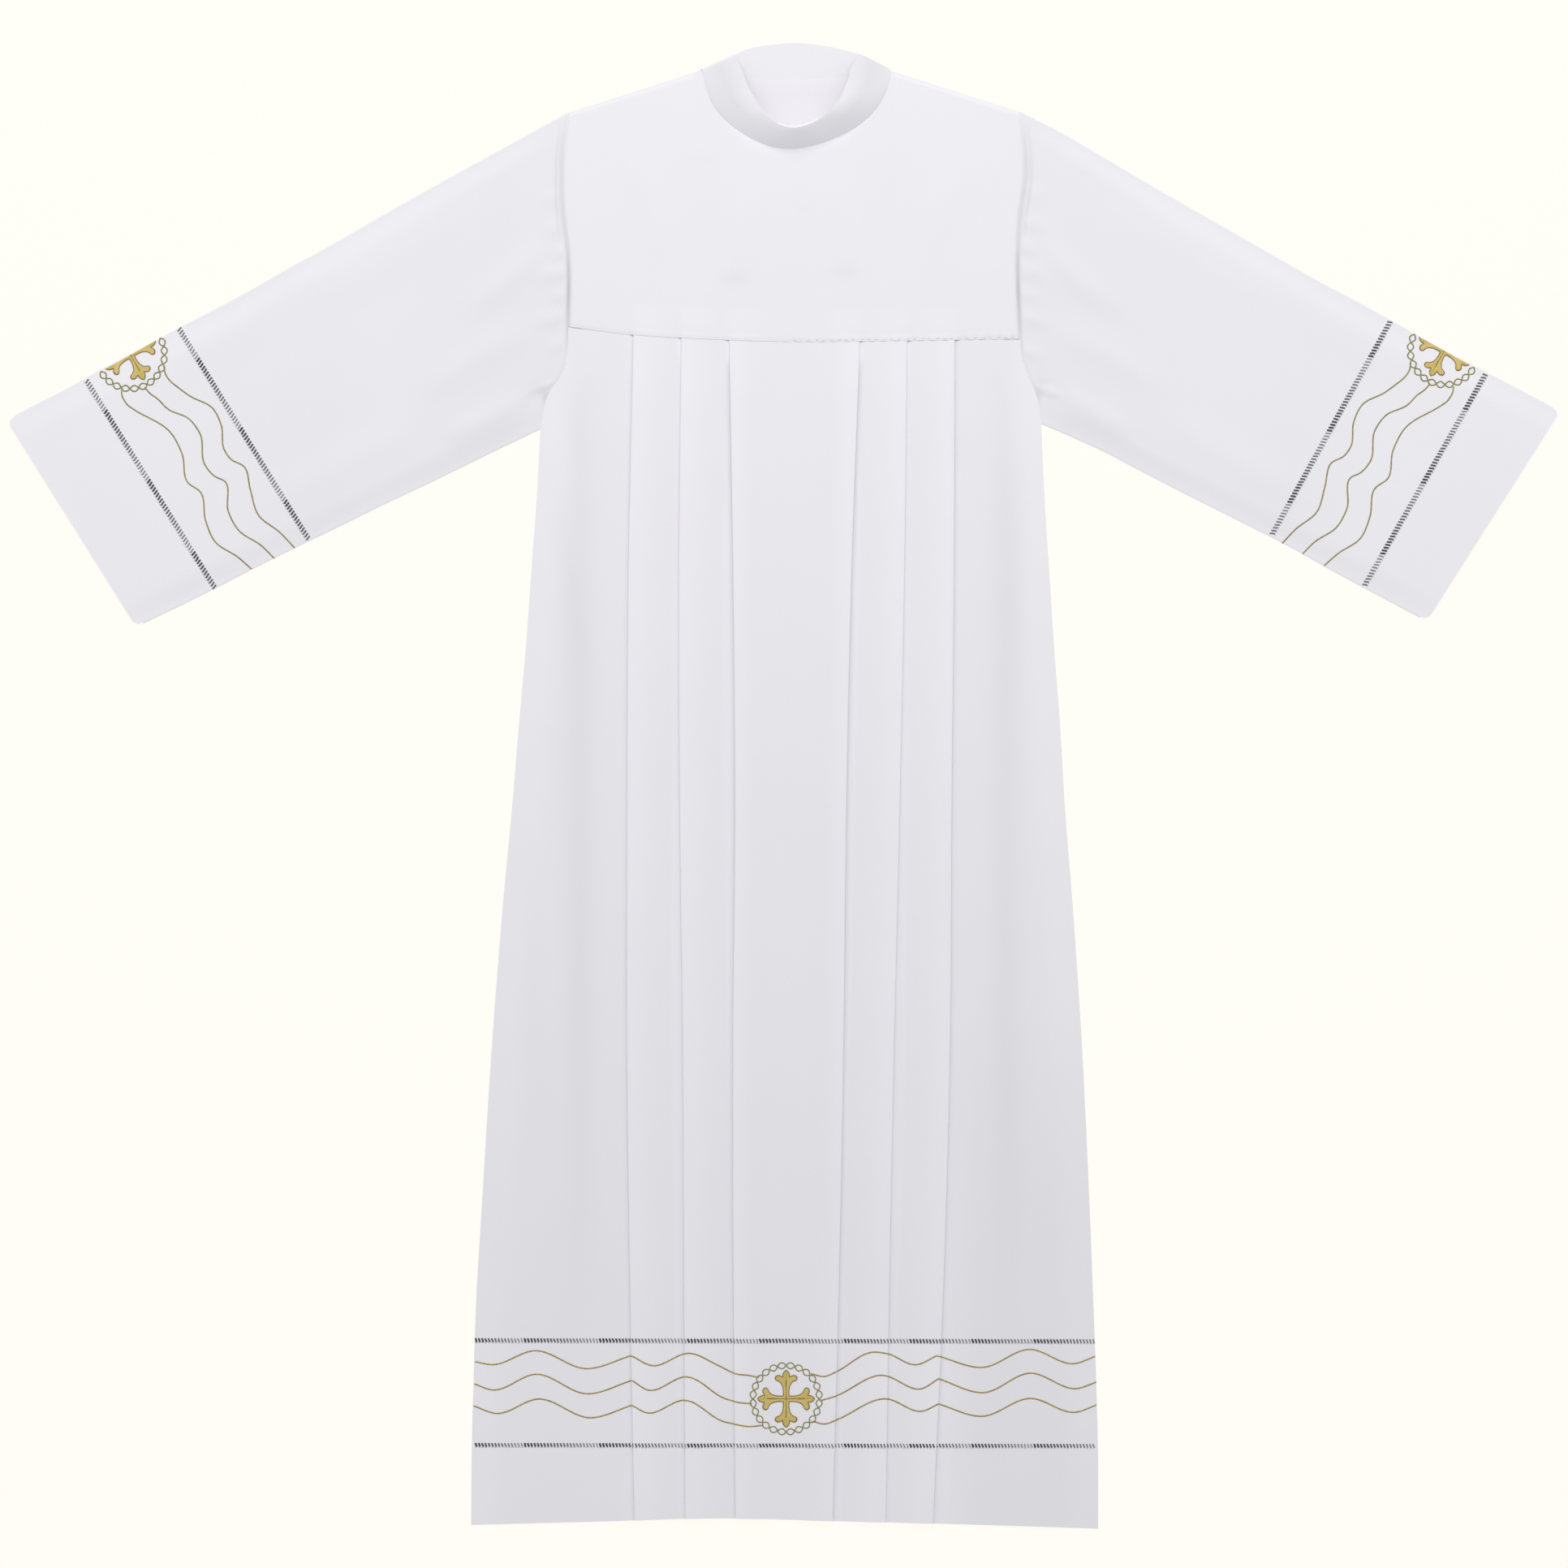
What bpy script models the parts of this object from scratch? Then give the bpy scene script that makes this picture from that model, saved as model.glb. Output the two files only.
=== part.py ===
"""An adult alb laid flat on its back: a long white church robe.

A plain back lies on the surface. The front lies on it: a yoke, and below the
yoke seam a skirt with three knife pleats to each side of a flat centre panel.
Each sleeve is a tube pressed flat, and a standing collar band runs round the
neck and laps at the wearer's left shoulder. Every piece is a closed cloth wall.
X runs across the robe, +Y runs from the hem to the collar, +Z is up.
"""

import math

import bmesh
import bpy
from mathutils import Vector
from mathutils.geometry import delaunay_2d_cdt

MM = 0.001

# Cloth walls and the layers that they lie in, in metres
WALL = 1.2 * MM
GAP = 0.3 * MM
FOLD = (WALL + GAP) / 2
BACK_MID = WALL / 2
FRONT_MID = BACK_MID + WALL + GAP

# Knife pleats of the skirt
PLEAT_DEPTH = 16.0 * MM
PLEAT_LAYERS = 2 * (WALL + GAP)
SINK_FROM = 2.0 * MM
SINK_TO = 13.0 * MM

# Collar band: its own wall, and the layers of its back and front halves
BAND_WALL = 2.0 * MM
BAND_FOLD = (BAND_WALL + GAP) / 2
BAND_BACK_MID = BAND_WALL / 2
BAND_FRONT_MID = BAND_BACK_MID + 2 * BAND_FOLD
BAND_ACROSS = 4
BAND_BOW = 1.5 * MM

# Soft rises of the cloth over its lowest level
YOKE_SEAM_RISE = 3.0 * MM
YOKE_NECK_RISE = 1.1 * MM
SEAM_RISE_REACH = 34.0 * MM
EDGE_REACH = 26.0 * MM
SLEEVE_RISE = 2.6 * MM
CUFF_RISE = 1.5 * MM
ARMHOLE_REACH = 0.06
SKIRT_RIDGE = 2.4 * MM

# Grid and corner sizes
YOKE_GRID = 21.0 * MM
CUFF_CORNER = 8.0 * MM
HEM_CORNER = 4.0 * MM
ARMHOLE_SEAM_GAP = 0.36 * MM
ARM_STEPS_YOKE = 7
ARM_STEPS_SKIRT = 4
SLEEVE_SHARES = (0.0, 0.02, 0.05, 0.1, 0.18, 0.28, 0.38, 0.48, 0.58, 0.68, 0.78, 0.88, 0.95)

CLOTH_COLOUR = (0.86, 0.86, 0.885, 1.0)
CLOTH_ROUGHNESS = 0.85

# The tables below are in millimetres, seen from above.

# Armhole seams from the shoulder to the underarm: x, y
ARMHOLE_YOKE = {
    "left": ((-217.3, 679.0), (-222.2, 632.2), (-221.4, 577.3), (-216.5, 533.8), (-216.5, 464.9)),
    "right": ((241.1, 679.8), (245.2, 611.7), (240.3, 576.5), (237.8, 531.4), (240.3, 452.6)),
}
ARMHOLE_SKIRT = {
    "left": ((-216.5, 464.9), (-217.5, 440.0), (-222.2, 418.2), (-238.0, 393.0), (-244.4, 360.8)),
    "right": ((240.3, 452.6), (242.0, 434.0), (248.5, 414.6), (257.5, 392.4), (261.6, 366.0)),
}

# Side seams from the underarm to the hem: y, x of the left one, x of the right one
SIDE_SEAMS = (
    (360.8, -244.4, 261.6),
    (301.8, -248.6, 263.2),
    (219.8, -255.0, 270.6),
    (137.8, -262.0, 276.6),
    (55.8, -267.6, 283.2),
    (-26.2, -273.6, 288.6),
    (-108.2, -281.3, 292.9),
    (-190.2, -288.4, 297.4),
    (-272.2, -294.2, 302.6),
    (-354.2, -300.1, 307.4),
    (-436.2, -305.5, 311.2),
    (-518.2, -309.4, 314.6),
    (-600.2, -312.4, 317.2),
    (-682.2, -314.6, 318.8),
    (-750.0, -315.4, 318.6),
)

# Hem, and the seam between yoke and skirt: x, y
HEM = ((-316.0, -746.0), (-190.0, -742.6), (-69.0, -739.8), (60.0, -742.0), (190.0, -746.2), (319.0, -749.8))
YOKE_SEAM = ((-216.5, 464.9), (-150.9, 456.6), (-93.5, 453.0), (0.8, 449.8), (111.5, 450.4), (240.3, 452.6))

# Folded edges of the pleats: y, then x of each fold from the side to the centre
LEFT_FOLDS = (
    (441.2, -150.1, -101.7, -53.3),
    (219.8, -155.0, -104.1, -49.6),
    (-26.2, -156.4, -103.3, -47.4),
    (-272.2, -156.6, -100.2, -49.6),
    (-518.2, -153.4, -99.0, -49.0),
    (-739.6, -149.2, -97.6, -46.9),
)
RIGHT_FOLDS = (
    (441.2, 173.8, 125.5, 77.9),
    (219.8, 173.0, 123.0, 69.7),
    (-26.2, 170.6, 118.1, 64.2),
    (-272.2, 168.8, 112.3, 61.2),
    (-518.2, 161.8, 107.4, 56.4),
    (-739.6, 151.9, 104.1, 50.4),
)

# Edges of the sleeves from the armhole to the cuff: x, y
SLEEVE_TOP = {
    "left": (
        (-217.3, 679.0), (-305.9, 629.8), (-382.1, 588.8), (-454.3, 547.8), (-532.2, 506.8),
        (-605.2, 465.8), (-683.1, 424.8), (-756.9, 383.8), (-784.4, 368.6),
    ),
    "right": (
        (241.1, 679.8), (281.0, 660.4), (332.1, 629.8), (401.8, 588.8), (473.5, 547.8),
        (549.0, 506.8), (625.8, 465.8), (699.8, 424.8), (786.0, 378.6),
    ),
}
SLEEVE_UNDER = {
    "left": (
        (-244.4, 360.8), (-296.0, 334.8), (-363.3, 301.8), (-445.4, 260.8),
        (-531.4, 219.4), (-615.8, 178.8), (-657.6, 158.8),
    ),
    "right": (
        (261.6, 366.0), (323.1, 335.2), (395.2, 300.8), (473.1, 260.6),
        (550.2, 219.8), (622.4, 181.6), (655.6, 164.4),
    ),
}

# Broad soft ridges of the skirt's side panels: share across the panel, height, top and foot
SIDE_RIDGES = (
    (0.24, 0.75, 330.0, -690.0),
    (0.62, 1.0, 390.0, -610.0),
)

# Front half of the collar: x and y of its seam, x and y of its free edge, rise of that edge
BAND_FRONT = (
    (-81.2, 723.2, -48.4, 738.0, 0.0),
    (-76.7, 705.2, -41.0, 723.0, 4.0),
    (-68.1, 685.9, -35.0, 706.5, 9.0),
    (-54.1, 670.3, -26.5, 690.5, 17.0),
    (-35.3, 656.8, -14.8, 675.7, 26.0),
    (-14.8, 647.4, -2.5, 666.2, 31.0),
    (6.5, 644.2, 11.0, 663.2, 33.0),
    (28.7, 647.0, 26.0, 666.5, 33.0),
    (54.1, 655.2, 41.0, 674.8, 30.0),
    (75.4, 666.7, 53.5, 686.0, 25.0),
    (91.0, 680.6, 61.0, 699.0, 17.0),
    (100.9, 694.5, 66.0, 712.0, 9.0),
    (106.6, 708.5, 70.0, 726.0, 4.0),
    (109.2, 722.0, 77.0, 738.0, 1.0),
)

# Back half of the collar, from the left fold to its end on the right: seam x, y, free edge x, y
BAND_BACK = (
    (-81.2, 723.2, -48.4, 738.0),
    (-60.0, 717.8, -40.0, 742.0),
    (-35.0, 714.3, -26.0, 746.2),
    (-10.0, 712.9, -7.0, 748.8),
    (12.0, 712.6, 11.5, 750.3),
    (35.0, 713.0, 31.0, 748.8),
    (60.0, 714.4, 51.0, 745.6),
    (85.0, 717.4, 66.0, 742.0),
    (109.2, 724.2, 80.0, 738.4),
)


def smoothstep(value):
    """0 below 0, 1 above 1, and a soft S between them."""
    value = min(max(value, 0.0), 1.0)
    return value * value * (3 - 2 * value)


def mixed(start, end, share):
    return start + (end - start) * share


def smooth_value(table, at, column):
    """The column's value at a place of column 0, on a smooth curve through the rows, in metres."""
    rows = sorted((row[0] * MM, row[column] * MM) for row in table)
    at = min(max(at, rows[0][0]), rows[-1][0])
    after = 1
    while after < len(rows) - 1 and rows[after][0] < at:
        after += 1
    before = after - 1
    span = rows[after][0] - rows[before][0]

    def slope(index):
        low, high = max(index - 1, 0), min(index + 1, len(rows) - 1)
        return (rows[high][1] - rows[low][1]) / (rows[high][0] - rows[low][0])

    share = (at - rows[before][0]) / span
    square, cube = share**2, share**3
    return (
        (2 * cube - 3 * square + 1) * rows[before][1]
        + (cube - 2 * square + share) * span * slope(before)
        + (3 * square - 2 * cube) * rows[after][1]
        + (cube - square) * span * slope(after)
    )


def smooth_path(points, shares):
    """Places at the given shares of the length of a smooth curve through points, in metres."""
    knots = [Vector(point).to_2d() * MM for point in points]
    lengths = [0.0]
    for start, end in zip(knots, knots[1:]):
        lengths.append(lengths[-1] + (end - start).length)
    table_x = [(length / MM, knot.x / MM) for length, knot in zip(lengths, knots)]
    table_y = [(length / MM, knot.y / MM) for length, knot in zip(lengths, knots)]
    return [
        Vector((smooth_value(table_x, share * lengths[-1], 1), smooth_value(table_y, share * lengths[-1], 1)))
        for share in shares
    ]


def even_shares(steps):
    return [step / steps for step in range(steps + 1)]


def new_object(name, verts, faces):
    """A named object from points and faces, closed, its faces pointing out, in the cloth's colour."""
    mesh = bpy.data.meshes.new(name)
    mesh.from_pydata([tuple(vert) for vert in verts], [], faces)
    shape = bmesh.new()
    shape.from_mesh(mesh)
    bmesh.ops.recalc_face_normals(shape, faces=shape.faces)
    shape.to_mesh(mesh)
    shape.free()
    mesh.shade_smooth()
    mesh.set_sharp_from_angle(angle=math.radians(50))
    cloth = bpy.data.materials.new(name + "_cloth")
    cloth.use_nodes = True
    shader = cloth.node_tree.nodes["Principled BSDF"]
    shader.inputs["Base Color"].default_value = CLOTH_COLOUR
    shader.inputs["Roughness"].default_value = CLOTH_ROUGHNESS
    shader.inputs["Metallic"].default_value = 0.0
    mesh.materials.append(cloth)
    piece = bpy.data.objects.new(name, mesh)
    bpy.context.collection.objects.link(piece)
    return piece


def panel(name, outline, inside, height):
    """A closed wall over a flat outline. height gives the level of the wall's middle at x, y."""
    count = len(outline)
    ring = [(index, (index + 1) % count) for index in range(count)]
    flat, _, faces, _, _, _ = delaunay_2d_cdt(outline + inside, ring, [], 1, 1e-7)
    faces = [list(face) for face in faces]
    total = len(flat)
    uses = {}
    for face in faces:
        for start, end in zip(face, face[1:] + face[:1]):
            uses[frozenset((start, end))] = uses.get(frozenset((start, end)), 0) + 1
    upper = [Vector((p.x, p.y, height(p.x, p.y) + WALL / 2)) for p in flat]
    lower = [Vector((p.x, p.y, height(p.x, p.y) - WALL / 2)) for p in flat]
    walls = []
    for face in faces:
        for start, end in zip(face, face[1:] + face[:1]):
            if uses[frozenset((start, end))] == 1:
                walls.append([total + start, total + end, end, start])
    under = [[total + index for index in reversed(face)] for face in faces]
    return new_object(name, upper + lower, faces + under + walls)


def grid_wall(name, outer, inner, ring):
    """A closed wall between two grids of points. With ring, each row runs right round."""
    rows, columns = len(outer), len(outer[0])
    verts = [vert for row in outer for vert in row] + [vert for row in inner for vert in row]
    total = rows * columns
    last = columns if ring else columns - 1
    faces = []
    for row in range(rows - 1):
        for column in range(last):
            beside = (column + 1) % columns
            a, b = row * columns + column, row * columns + beside
            c, d = b + columns, a + columns
            faces.append([a, b, c, d])
            faces.append([total + d, total + c, total + b, total + a])
    for row in (0, rows - 1):
        for column in range(last):
            a, b = row * columns + column, row * columns + (column + 1) % columns
            faces.append([a, total + a, total + b, b])
    if not ring:
        for column in (0, columns - 1):
            for row in range(rows - 1):
                a, b = row * columns + column, (row + 1) * columns + column
                faces.append([a, b, total + b, total + a])
    return new_object(name, verts, faces)


def armhole(side):
    """The armhole's points from the shoulder to the underarm: those of the yoke, then the skirt's."""
    upper = smooth_path(ARMHOLE_YOKE[side], even_shares(ARM_STEPS_YOKE))
    lower = smooth_path(ARMHOLE_SKIRT[side], even_shares(ARM_STEPS_SKIRT))
    return upper, lower


def side_seam(side, y):
    return smooth_value(SIDE_SEAMS, y, 1 if side == "left" else 2)


def hem_corner(side):
    """Points round the hem's small corner, from the side seam to the hem."""
    inward = 1 if side == "left" else -1
    foot = smooth_value(HEM, side_seam(side, HEM[0][1] * MM), 1)
    edge = side_seam(side, foot + HEM_CORNER)
    points = []
    for step in range(4):
        angle = math.radians(30 * step)
        points.append(
            Vector((edge + inward * HEM_CORNER * (1 - math.cos(angle)), foot + HEM_CORNER * (1 - math.sin(angle))))
        )
    return points


def build_back():
    """The plain back, flat on the surface."""
    outline = []
    for side in ("left", "right"):
        upper, lower = armhole(side)
        seam_rows = [row[0] * MM for row in SIDE_SEAMS[1:-1]]
        seam = [Vector((side_seam(side, y), y)) for y in seam_rows]
        edge = upper + lower[1:] + seam + hem_corner(side)
        outline.append(edge)
    hem = [Vector((x * MM, smooth_value(HEM, x * MM, 1))) for x in (-190, -69, 60, 190)]
    neck = [Vector((x * MM, y * MM - GAP)) for x, y, _, _ in BAND_BACK[1:-1]]
    left_corner = Vector((-82.4 * MM, 722.4 * MM))
    right_corner = Vector((110.0 * MM, 721.9 * MM))
    around = outline[0] + hem + outline[1][::-1] + [right_corner] + neck[::-1] + [left_corner]
    return panel("back", around, [], lambda x, y: BACK_MID)


def band_stretch(seam_x, seam_y, edge_x, edge_y, seam_z, edge_z):
    """Seam and free edge of the collar at one place along it."""
    return (
        Vector((seam_x * MM, seam_y * MM, seam_z)),
        Vector((edge_x * MM, edge_y * MM, edge_z)),
    )


def band_stations():
    """The collar's stations: along its back from the right end, over the left fold, along its front."""
    stations = [band_stretch(*row, BAND_BACK_MID, BAND_BACK_MID) for row in reversed(BAND_BACK)]
    seam, edge = stations[-1]
    across = (edge - seam).normalized()
    outward = Vector((-across.y, across.x, 0))
    for degrees in (-30, 30):
        angle = math.radians(degrees)
        shift = outward * BAND_FOLD * math.cos(angle) + Vector((0, 0, BAND_FOLD * (1 + math.sin(angle))))
        stations.append((seam + shift, edge + shift))
    for seam_x, seam_y, edge_x, edge_y, rise in BAND_FRONT:
        stations.append(
            band_stretch(seam_x, seam_y, edge_x, edge_y, BAND_FRONT_MID, BAND_FRONT_MID + rise * MM)
        )
    return stations


def build_collar():
    """The standing band: its back half lies flat, its front half stands up over the neck opening."""
    stations = band_stations()
    highest = max(edge.z for _, edge in stations)
    middle = []
    for seam, edge in stations:
        lean = (edge.z - BAND_FRONT_MID) / (highest - BAND_FRONT_MID) if edge.z > BAND_FRONT_MID else 0.0
        outward = Vector((seam.x - edge.x, seam.y - edge.y, 0)).normalized()
        row = []
        for step in range(BAND_ACROSS + 1):
            share = step / BAND_ACROSS
            bow = outward * BAND_BOW * math.sin(math.pi * share) * lean
            row.append(seam.lerp(edge, share) + bow)
        middle.append(row)
    outer, inner = [], []
    last = len(middle) - 1
    for index, row in enumerate(middle):
        outer_row, inner_row = [], []
        for step, place in enumerate(row):
            before, after = middle[max(index - 1, 0)][step], middle[min(index + 1, last)][step]
            ahead = Vector((0, 0, 0))
            if index > 0:
                ahead += (place - before).normalized()
            if index < last:
                ahead += (after - place).normalized()
            across = row[min(step + 1, BAND_ACROSS)] - row[max(step - 1, 0)]
            normal = ahead.cross(across).normalized()
            outer_row.append(place + normal * BAND_WALL / 2)
            inner_row.append(place - normal * BAND_WALL / 2)
        outer.append(outer_row)
        inner.append(inner_row)
    return grid_wall("collar", outer, inner, False)


def neckline():
    """The yoke's neck edge, just outside the collar's seam."""
    points = []
    for seam_x, seam_y, edge_x, edge_y, rise in BAND_FRONT:
        seam = Vector((seam_x, seam_y))
        outward = (seam - Vector((edge_x, edge_y))).normalized()
        lean = rise / math.hypot(rise, (seam - Vector((edge_x, edge_y))).length)
        points.append((seam + outward * (0.4 + lean * BAND_WALL / MM / 2)) * MM)
    return points


def distance_to(point, path):
    """The shortest distance from a point to a run of straight pieces."""
    best = math.inf
    for start, end in zip(path, path[1:]):
        along = end - start
        share = min(max((point - start).dot(along) / along.length_squared, 0.0), 1.0)
        best = min(best, (start + along * share - point).length)
    return best


def inside_outline(point, outline):
    inside = False
    for start, end in zip(outline, outline[1:] + outline[:1]):
        if (start.y > point.y) != (end.y > point.y):
            cross = start.x + (point.y - start.y) / (end.y - start.y) * (end.x - start.x)
            if point.x < cross:
                inside = not inside
    return inside


def build_yoke():
    """The yoke: flat at the shoulders and armholes, raised to the pleats along its lower seam."""
    left, right = armhole("left")[0], armhole("right")[0]
    neck = neckline()
    seam_steps = 16
    seam = []
    for step in range(1, seam_steps):
        x = mixed(left[-1].x, right[-1].x, step / seam_steps)
        seam.append(Vector((x, smooth_value(YOKE_SEAM, x, 1) + GAP)))
    left_foot = left[-1] + Vector((0, GAP))
    right_foot = right[-1] + Vector((0, GAP))
    outline = left[:-1] + [left_foot] + seam + [right_foot] + right[:-1][::-1] + neck[::-1]
    seam_line = [left_foot] + seam + [right_foot]
    still_edge = [left[0], neck[0]]
    other_edge = [neck[-1], right[0]]

    def height(x, y):
        point = Vector((x, y))
        at_seam = 1 - smoothstep(distance_to(point, seam_line) / SEAM_RISE_REACH)
        at_neck = 1 - smoothstep(distance_to(point, neck) / EDGE_REACH)
        edges = min(
            distance_to(point, left),
            distance_to(point, right),
            distance_to(point, still_edge),
            distance_to(point, other_edge),
        )
        free = smoothstep(edges / EDGE_REACH)
        lift = 0.35 * YOKE_SEAM_RISE * free
        lift = max(lift, YOKE_SEAM_RISE * at_seam * free)
        return FRONT_MID + max(lift, YOKE_NECK_RISE * at_neck)

    inside = []
    columns = int((right[0].x - left[0].x) / YOKE_GRID) + 2
    rows = int((neck[0].y - seam[0].y) / YOKE_GRID) + 2
    for row in range(rows):
        for column in range(columns):
            shift = 0.5 if row % 2 else 0.0
            point = Vector(
                (left[0].x - 8 * MM + (column + shift) * YOKE_GRID, seam[7].y + (row + 0.4) * YOKE_GRID)
            )
            clear = distance_to(point, outline + outline[:1]) > YOKE_GRID * 0.4
            if clear and inside_outline(point, outline):
                inside.append(point)
    return panel("front_yoke", outline, inside, height)


def arc(centre_x, centre_z, start, end, steps):
    """Stations of a fold: x and z of the wall's middle, and the direction out of the fold's centre."""
    stations = []
    for step in range(steps + 1):
        angle = math.radians(mixed(start, end, step / steps))
        out = (math.cos(angle), math.sin(angle))
        stations.append((centre_x + FOLD * out[0], centre_z + FOLD * out[1], out))
    return stations


def left_pleat(fold):
    """One pleat with its folded edge to the left: under, back, and over the top, then sinking."""
    low, high = FRONT_MID, FRONT_MID + PLEAT_LAYERS
    under = arc(fold + PLEAT_DEPTH - FOLD, low + FOLD, -90, 90, 2)
    over = arc(fold + FOLD, low + 3 * FOLD, -90, -270, 3)
    stations = [(x, z, (-out[0], -out[1])) for x, z, out in under] + over
    for share in (0.0, 0.35, 0.7, 1.0):
        x = fold + PLEAT_DEPTH + mixed(SINK_FROM, SINK_TO, share)
        stations.append((x, mixed(high, low, smoothstep(share)), None))
    return stations


def skirt_station_rows():
    """The y of each row at the left edge, the right edge, and as a share down the centre."""
    left, right = armhole("left")[1], armhole("right")[1]
    rows = [(a.y, b.y) for a, b in zip(left, right)]
    foot = [smooth_value(HEM, side_seam(side, -0.748), 1) for side in ("left", "right")]
    for share in (0.07, 0.16, 0.26, 0.36, 0.47, 0.58, 0.69, 0.8, 0.91):
        rows.append((mixed(left[-1].y, foot[0], share), mixed(right[-1].y, foot[1], share)))
    for above in (HEM_CORNER, 0.3 * HEM_CORNER, 0.0):
        rows.append((foot[0] + above, foot[1] + above))
    return rows, foot


def skirt_edges(row, y_left, y_right, above):
    """The ends of a row: on the armhole above the underarm, on the side seam below it."""
    ends = []
    for side, y in (("left", y_left), ("right", y_right)):
        if row <= ARM_STEPS_SKIRT:
            x = armhole(side)[1][row].x
        else:
            x = side_seam(side, y)
        inset = HEM_CORNER - math.sqrt(max(HEM_CORNER**2 - max(HEM_CORNER - above, 0.0) ** 2, 0.0))
        ends.append(x + (inset if side == "left" else -inset))
    return ends


def ridge_height(share, y):
    """How far the soft ridges lift a side panel, at a share across it from the side seam."""
    lift = 0.0
    for centre, height, top, foot in SIDE_RIDGES:
        across = max(0.0, 1 - abs(share - centre) / 0.24)
        down = smoothstep((top * MM - y) / (170 * MM)) * smoothstep((y - foot * MM) / (200 * MM))
        lift += height * SKIRT_RIDGE * smoothstep(across) * down
    return lift


def side_panel(edge, fold, y, flip):
    """Stations of the plain cloth from the side seam to just before the outer pleat."""
    stations = []
    for share in (0.0, 0.12, 0.24, 0.38, 0.5, 0.62, 0.76, 0.92):
        x = mixed(edge, fold, share)
        stations.append((x, FRONT_MID + ridge_height(share, y), None))
    return stations[::-1] if flip else stations


def mirrored(stations):
    """The same stations turned left to right, and run from the other end."""
    turned = []
    for x, z, out in reversed(stations):
        turned.append((-x, z, None if out is None else (-out[0], out[1])))
    return turned


def build_skirt():
    """The pleated front from the yoke seam to the hem, as one folded wall."""
    rows, foot = skirt_station_rows()
    outer, inner = [], []
    for row, (y_left, y_right) in enumerate(rows):
        above = y_left - foot[0]
        edge_left, edge_right = skirt_edges(row, y_left, y_right, above)
        left_folds = [smooth_value(LEFT_FOLDS, y_left, column) for column in (1, 2, 3)]
        right_folds = [smooth_value(RIGHT_FOLDS, y_right, column) for column in (1, 2, 3)]
        profile = side_panel(edge_left, left_folds[0], y_left, False)
        for fold in left_folds:
            profile += left_pleat(fold)
        middle = mixed(left_folds[2] + PLEAT_DEPTH + SINK_TO, right_folds[2] - PLEAT_DEPTH - SINK_TO, 0.5)
        profile.append((middle, FRONT_MID + 0.4 * MM, None))
        for fold in reversed(right_folds):
            profile += mirrored(left_pleat(-fold))
        profile += side_panel(edge_right, right_folds[0], y_right, True)
        share = (y_left - rows[0][0]) / (foot[0] - rows[0][0])
        outer_row, inner_row = [], []
        for index, (x, z, out) in enumerate(profile):
            if out is None:
                before, after = profile[max(index - 1, 0)], profile[min(index + 1, len(profile) - 1)]
                run, rise = after[0] - before[0], after[1] - before[1]
                out = (-rise / math.hypot(run, rise), run / math.hypot(run, rise))
            y = mixed(smooth_value(YOKE_SEAM, x, 1), smooth_value(HEM, x, 1), share)
            if x < left_folds[0]:
                ease = (x - edge_left) / (left_folds[0] - edge_left)
                start = mixed(smooth_value(YOKE_SEAM, edge_left, 1), smooth_value(HEM, edge_left, 1), share)
                y += (y_left - start) * (1 - ease)
            if x > right_folds[0]:
                ease = (edge_right - x) / (edge_right - right_folds[0])
                start = mixed(smooth_value(YOKE_SEAM, edge_right, 1), smooth_value(HEM, edge_right, 1), share)
                y += (y_right - start) * (1 - ease)
            outer_row.append(Vector((x + out[0] * WALL / 2, y, z + out[1] * WALL / 2)))
            inner_row.append(Vector((x - out[0] * WALL / 2, y, z - out[1] * WALL / 2)))
        outer.append(outer_row)
        inner.append(inner_row)
    return grid_wall("front_skirt", outer, inner, False)


def sleeve_rise(along, across):
    """Lift of the sleeve's upper layer, at shares along the sleeve and across it."""
    body = mixed(SLEEVE_RISE, CUFF_RISE, smoothstep((along - 0.55) / 0.45))
    crown = math.sin(math.pi * across) ** 0.7
    start = mixed(0.25, 1.0, smoothstep(along / (4 * ARMHOLE_REACH)))
    fold_a = 0.22 * math.sin(2 * math.pi * (2.2 * across + 0.9 * along))
    fold_b = 0.14 * math.sin(2 * math.pi * (1.1 * across - 2.1 * along) + 0.8)
    return body * crown * start * (0.82 + fold_a + fold_b)


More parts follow.
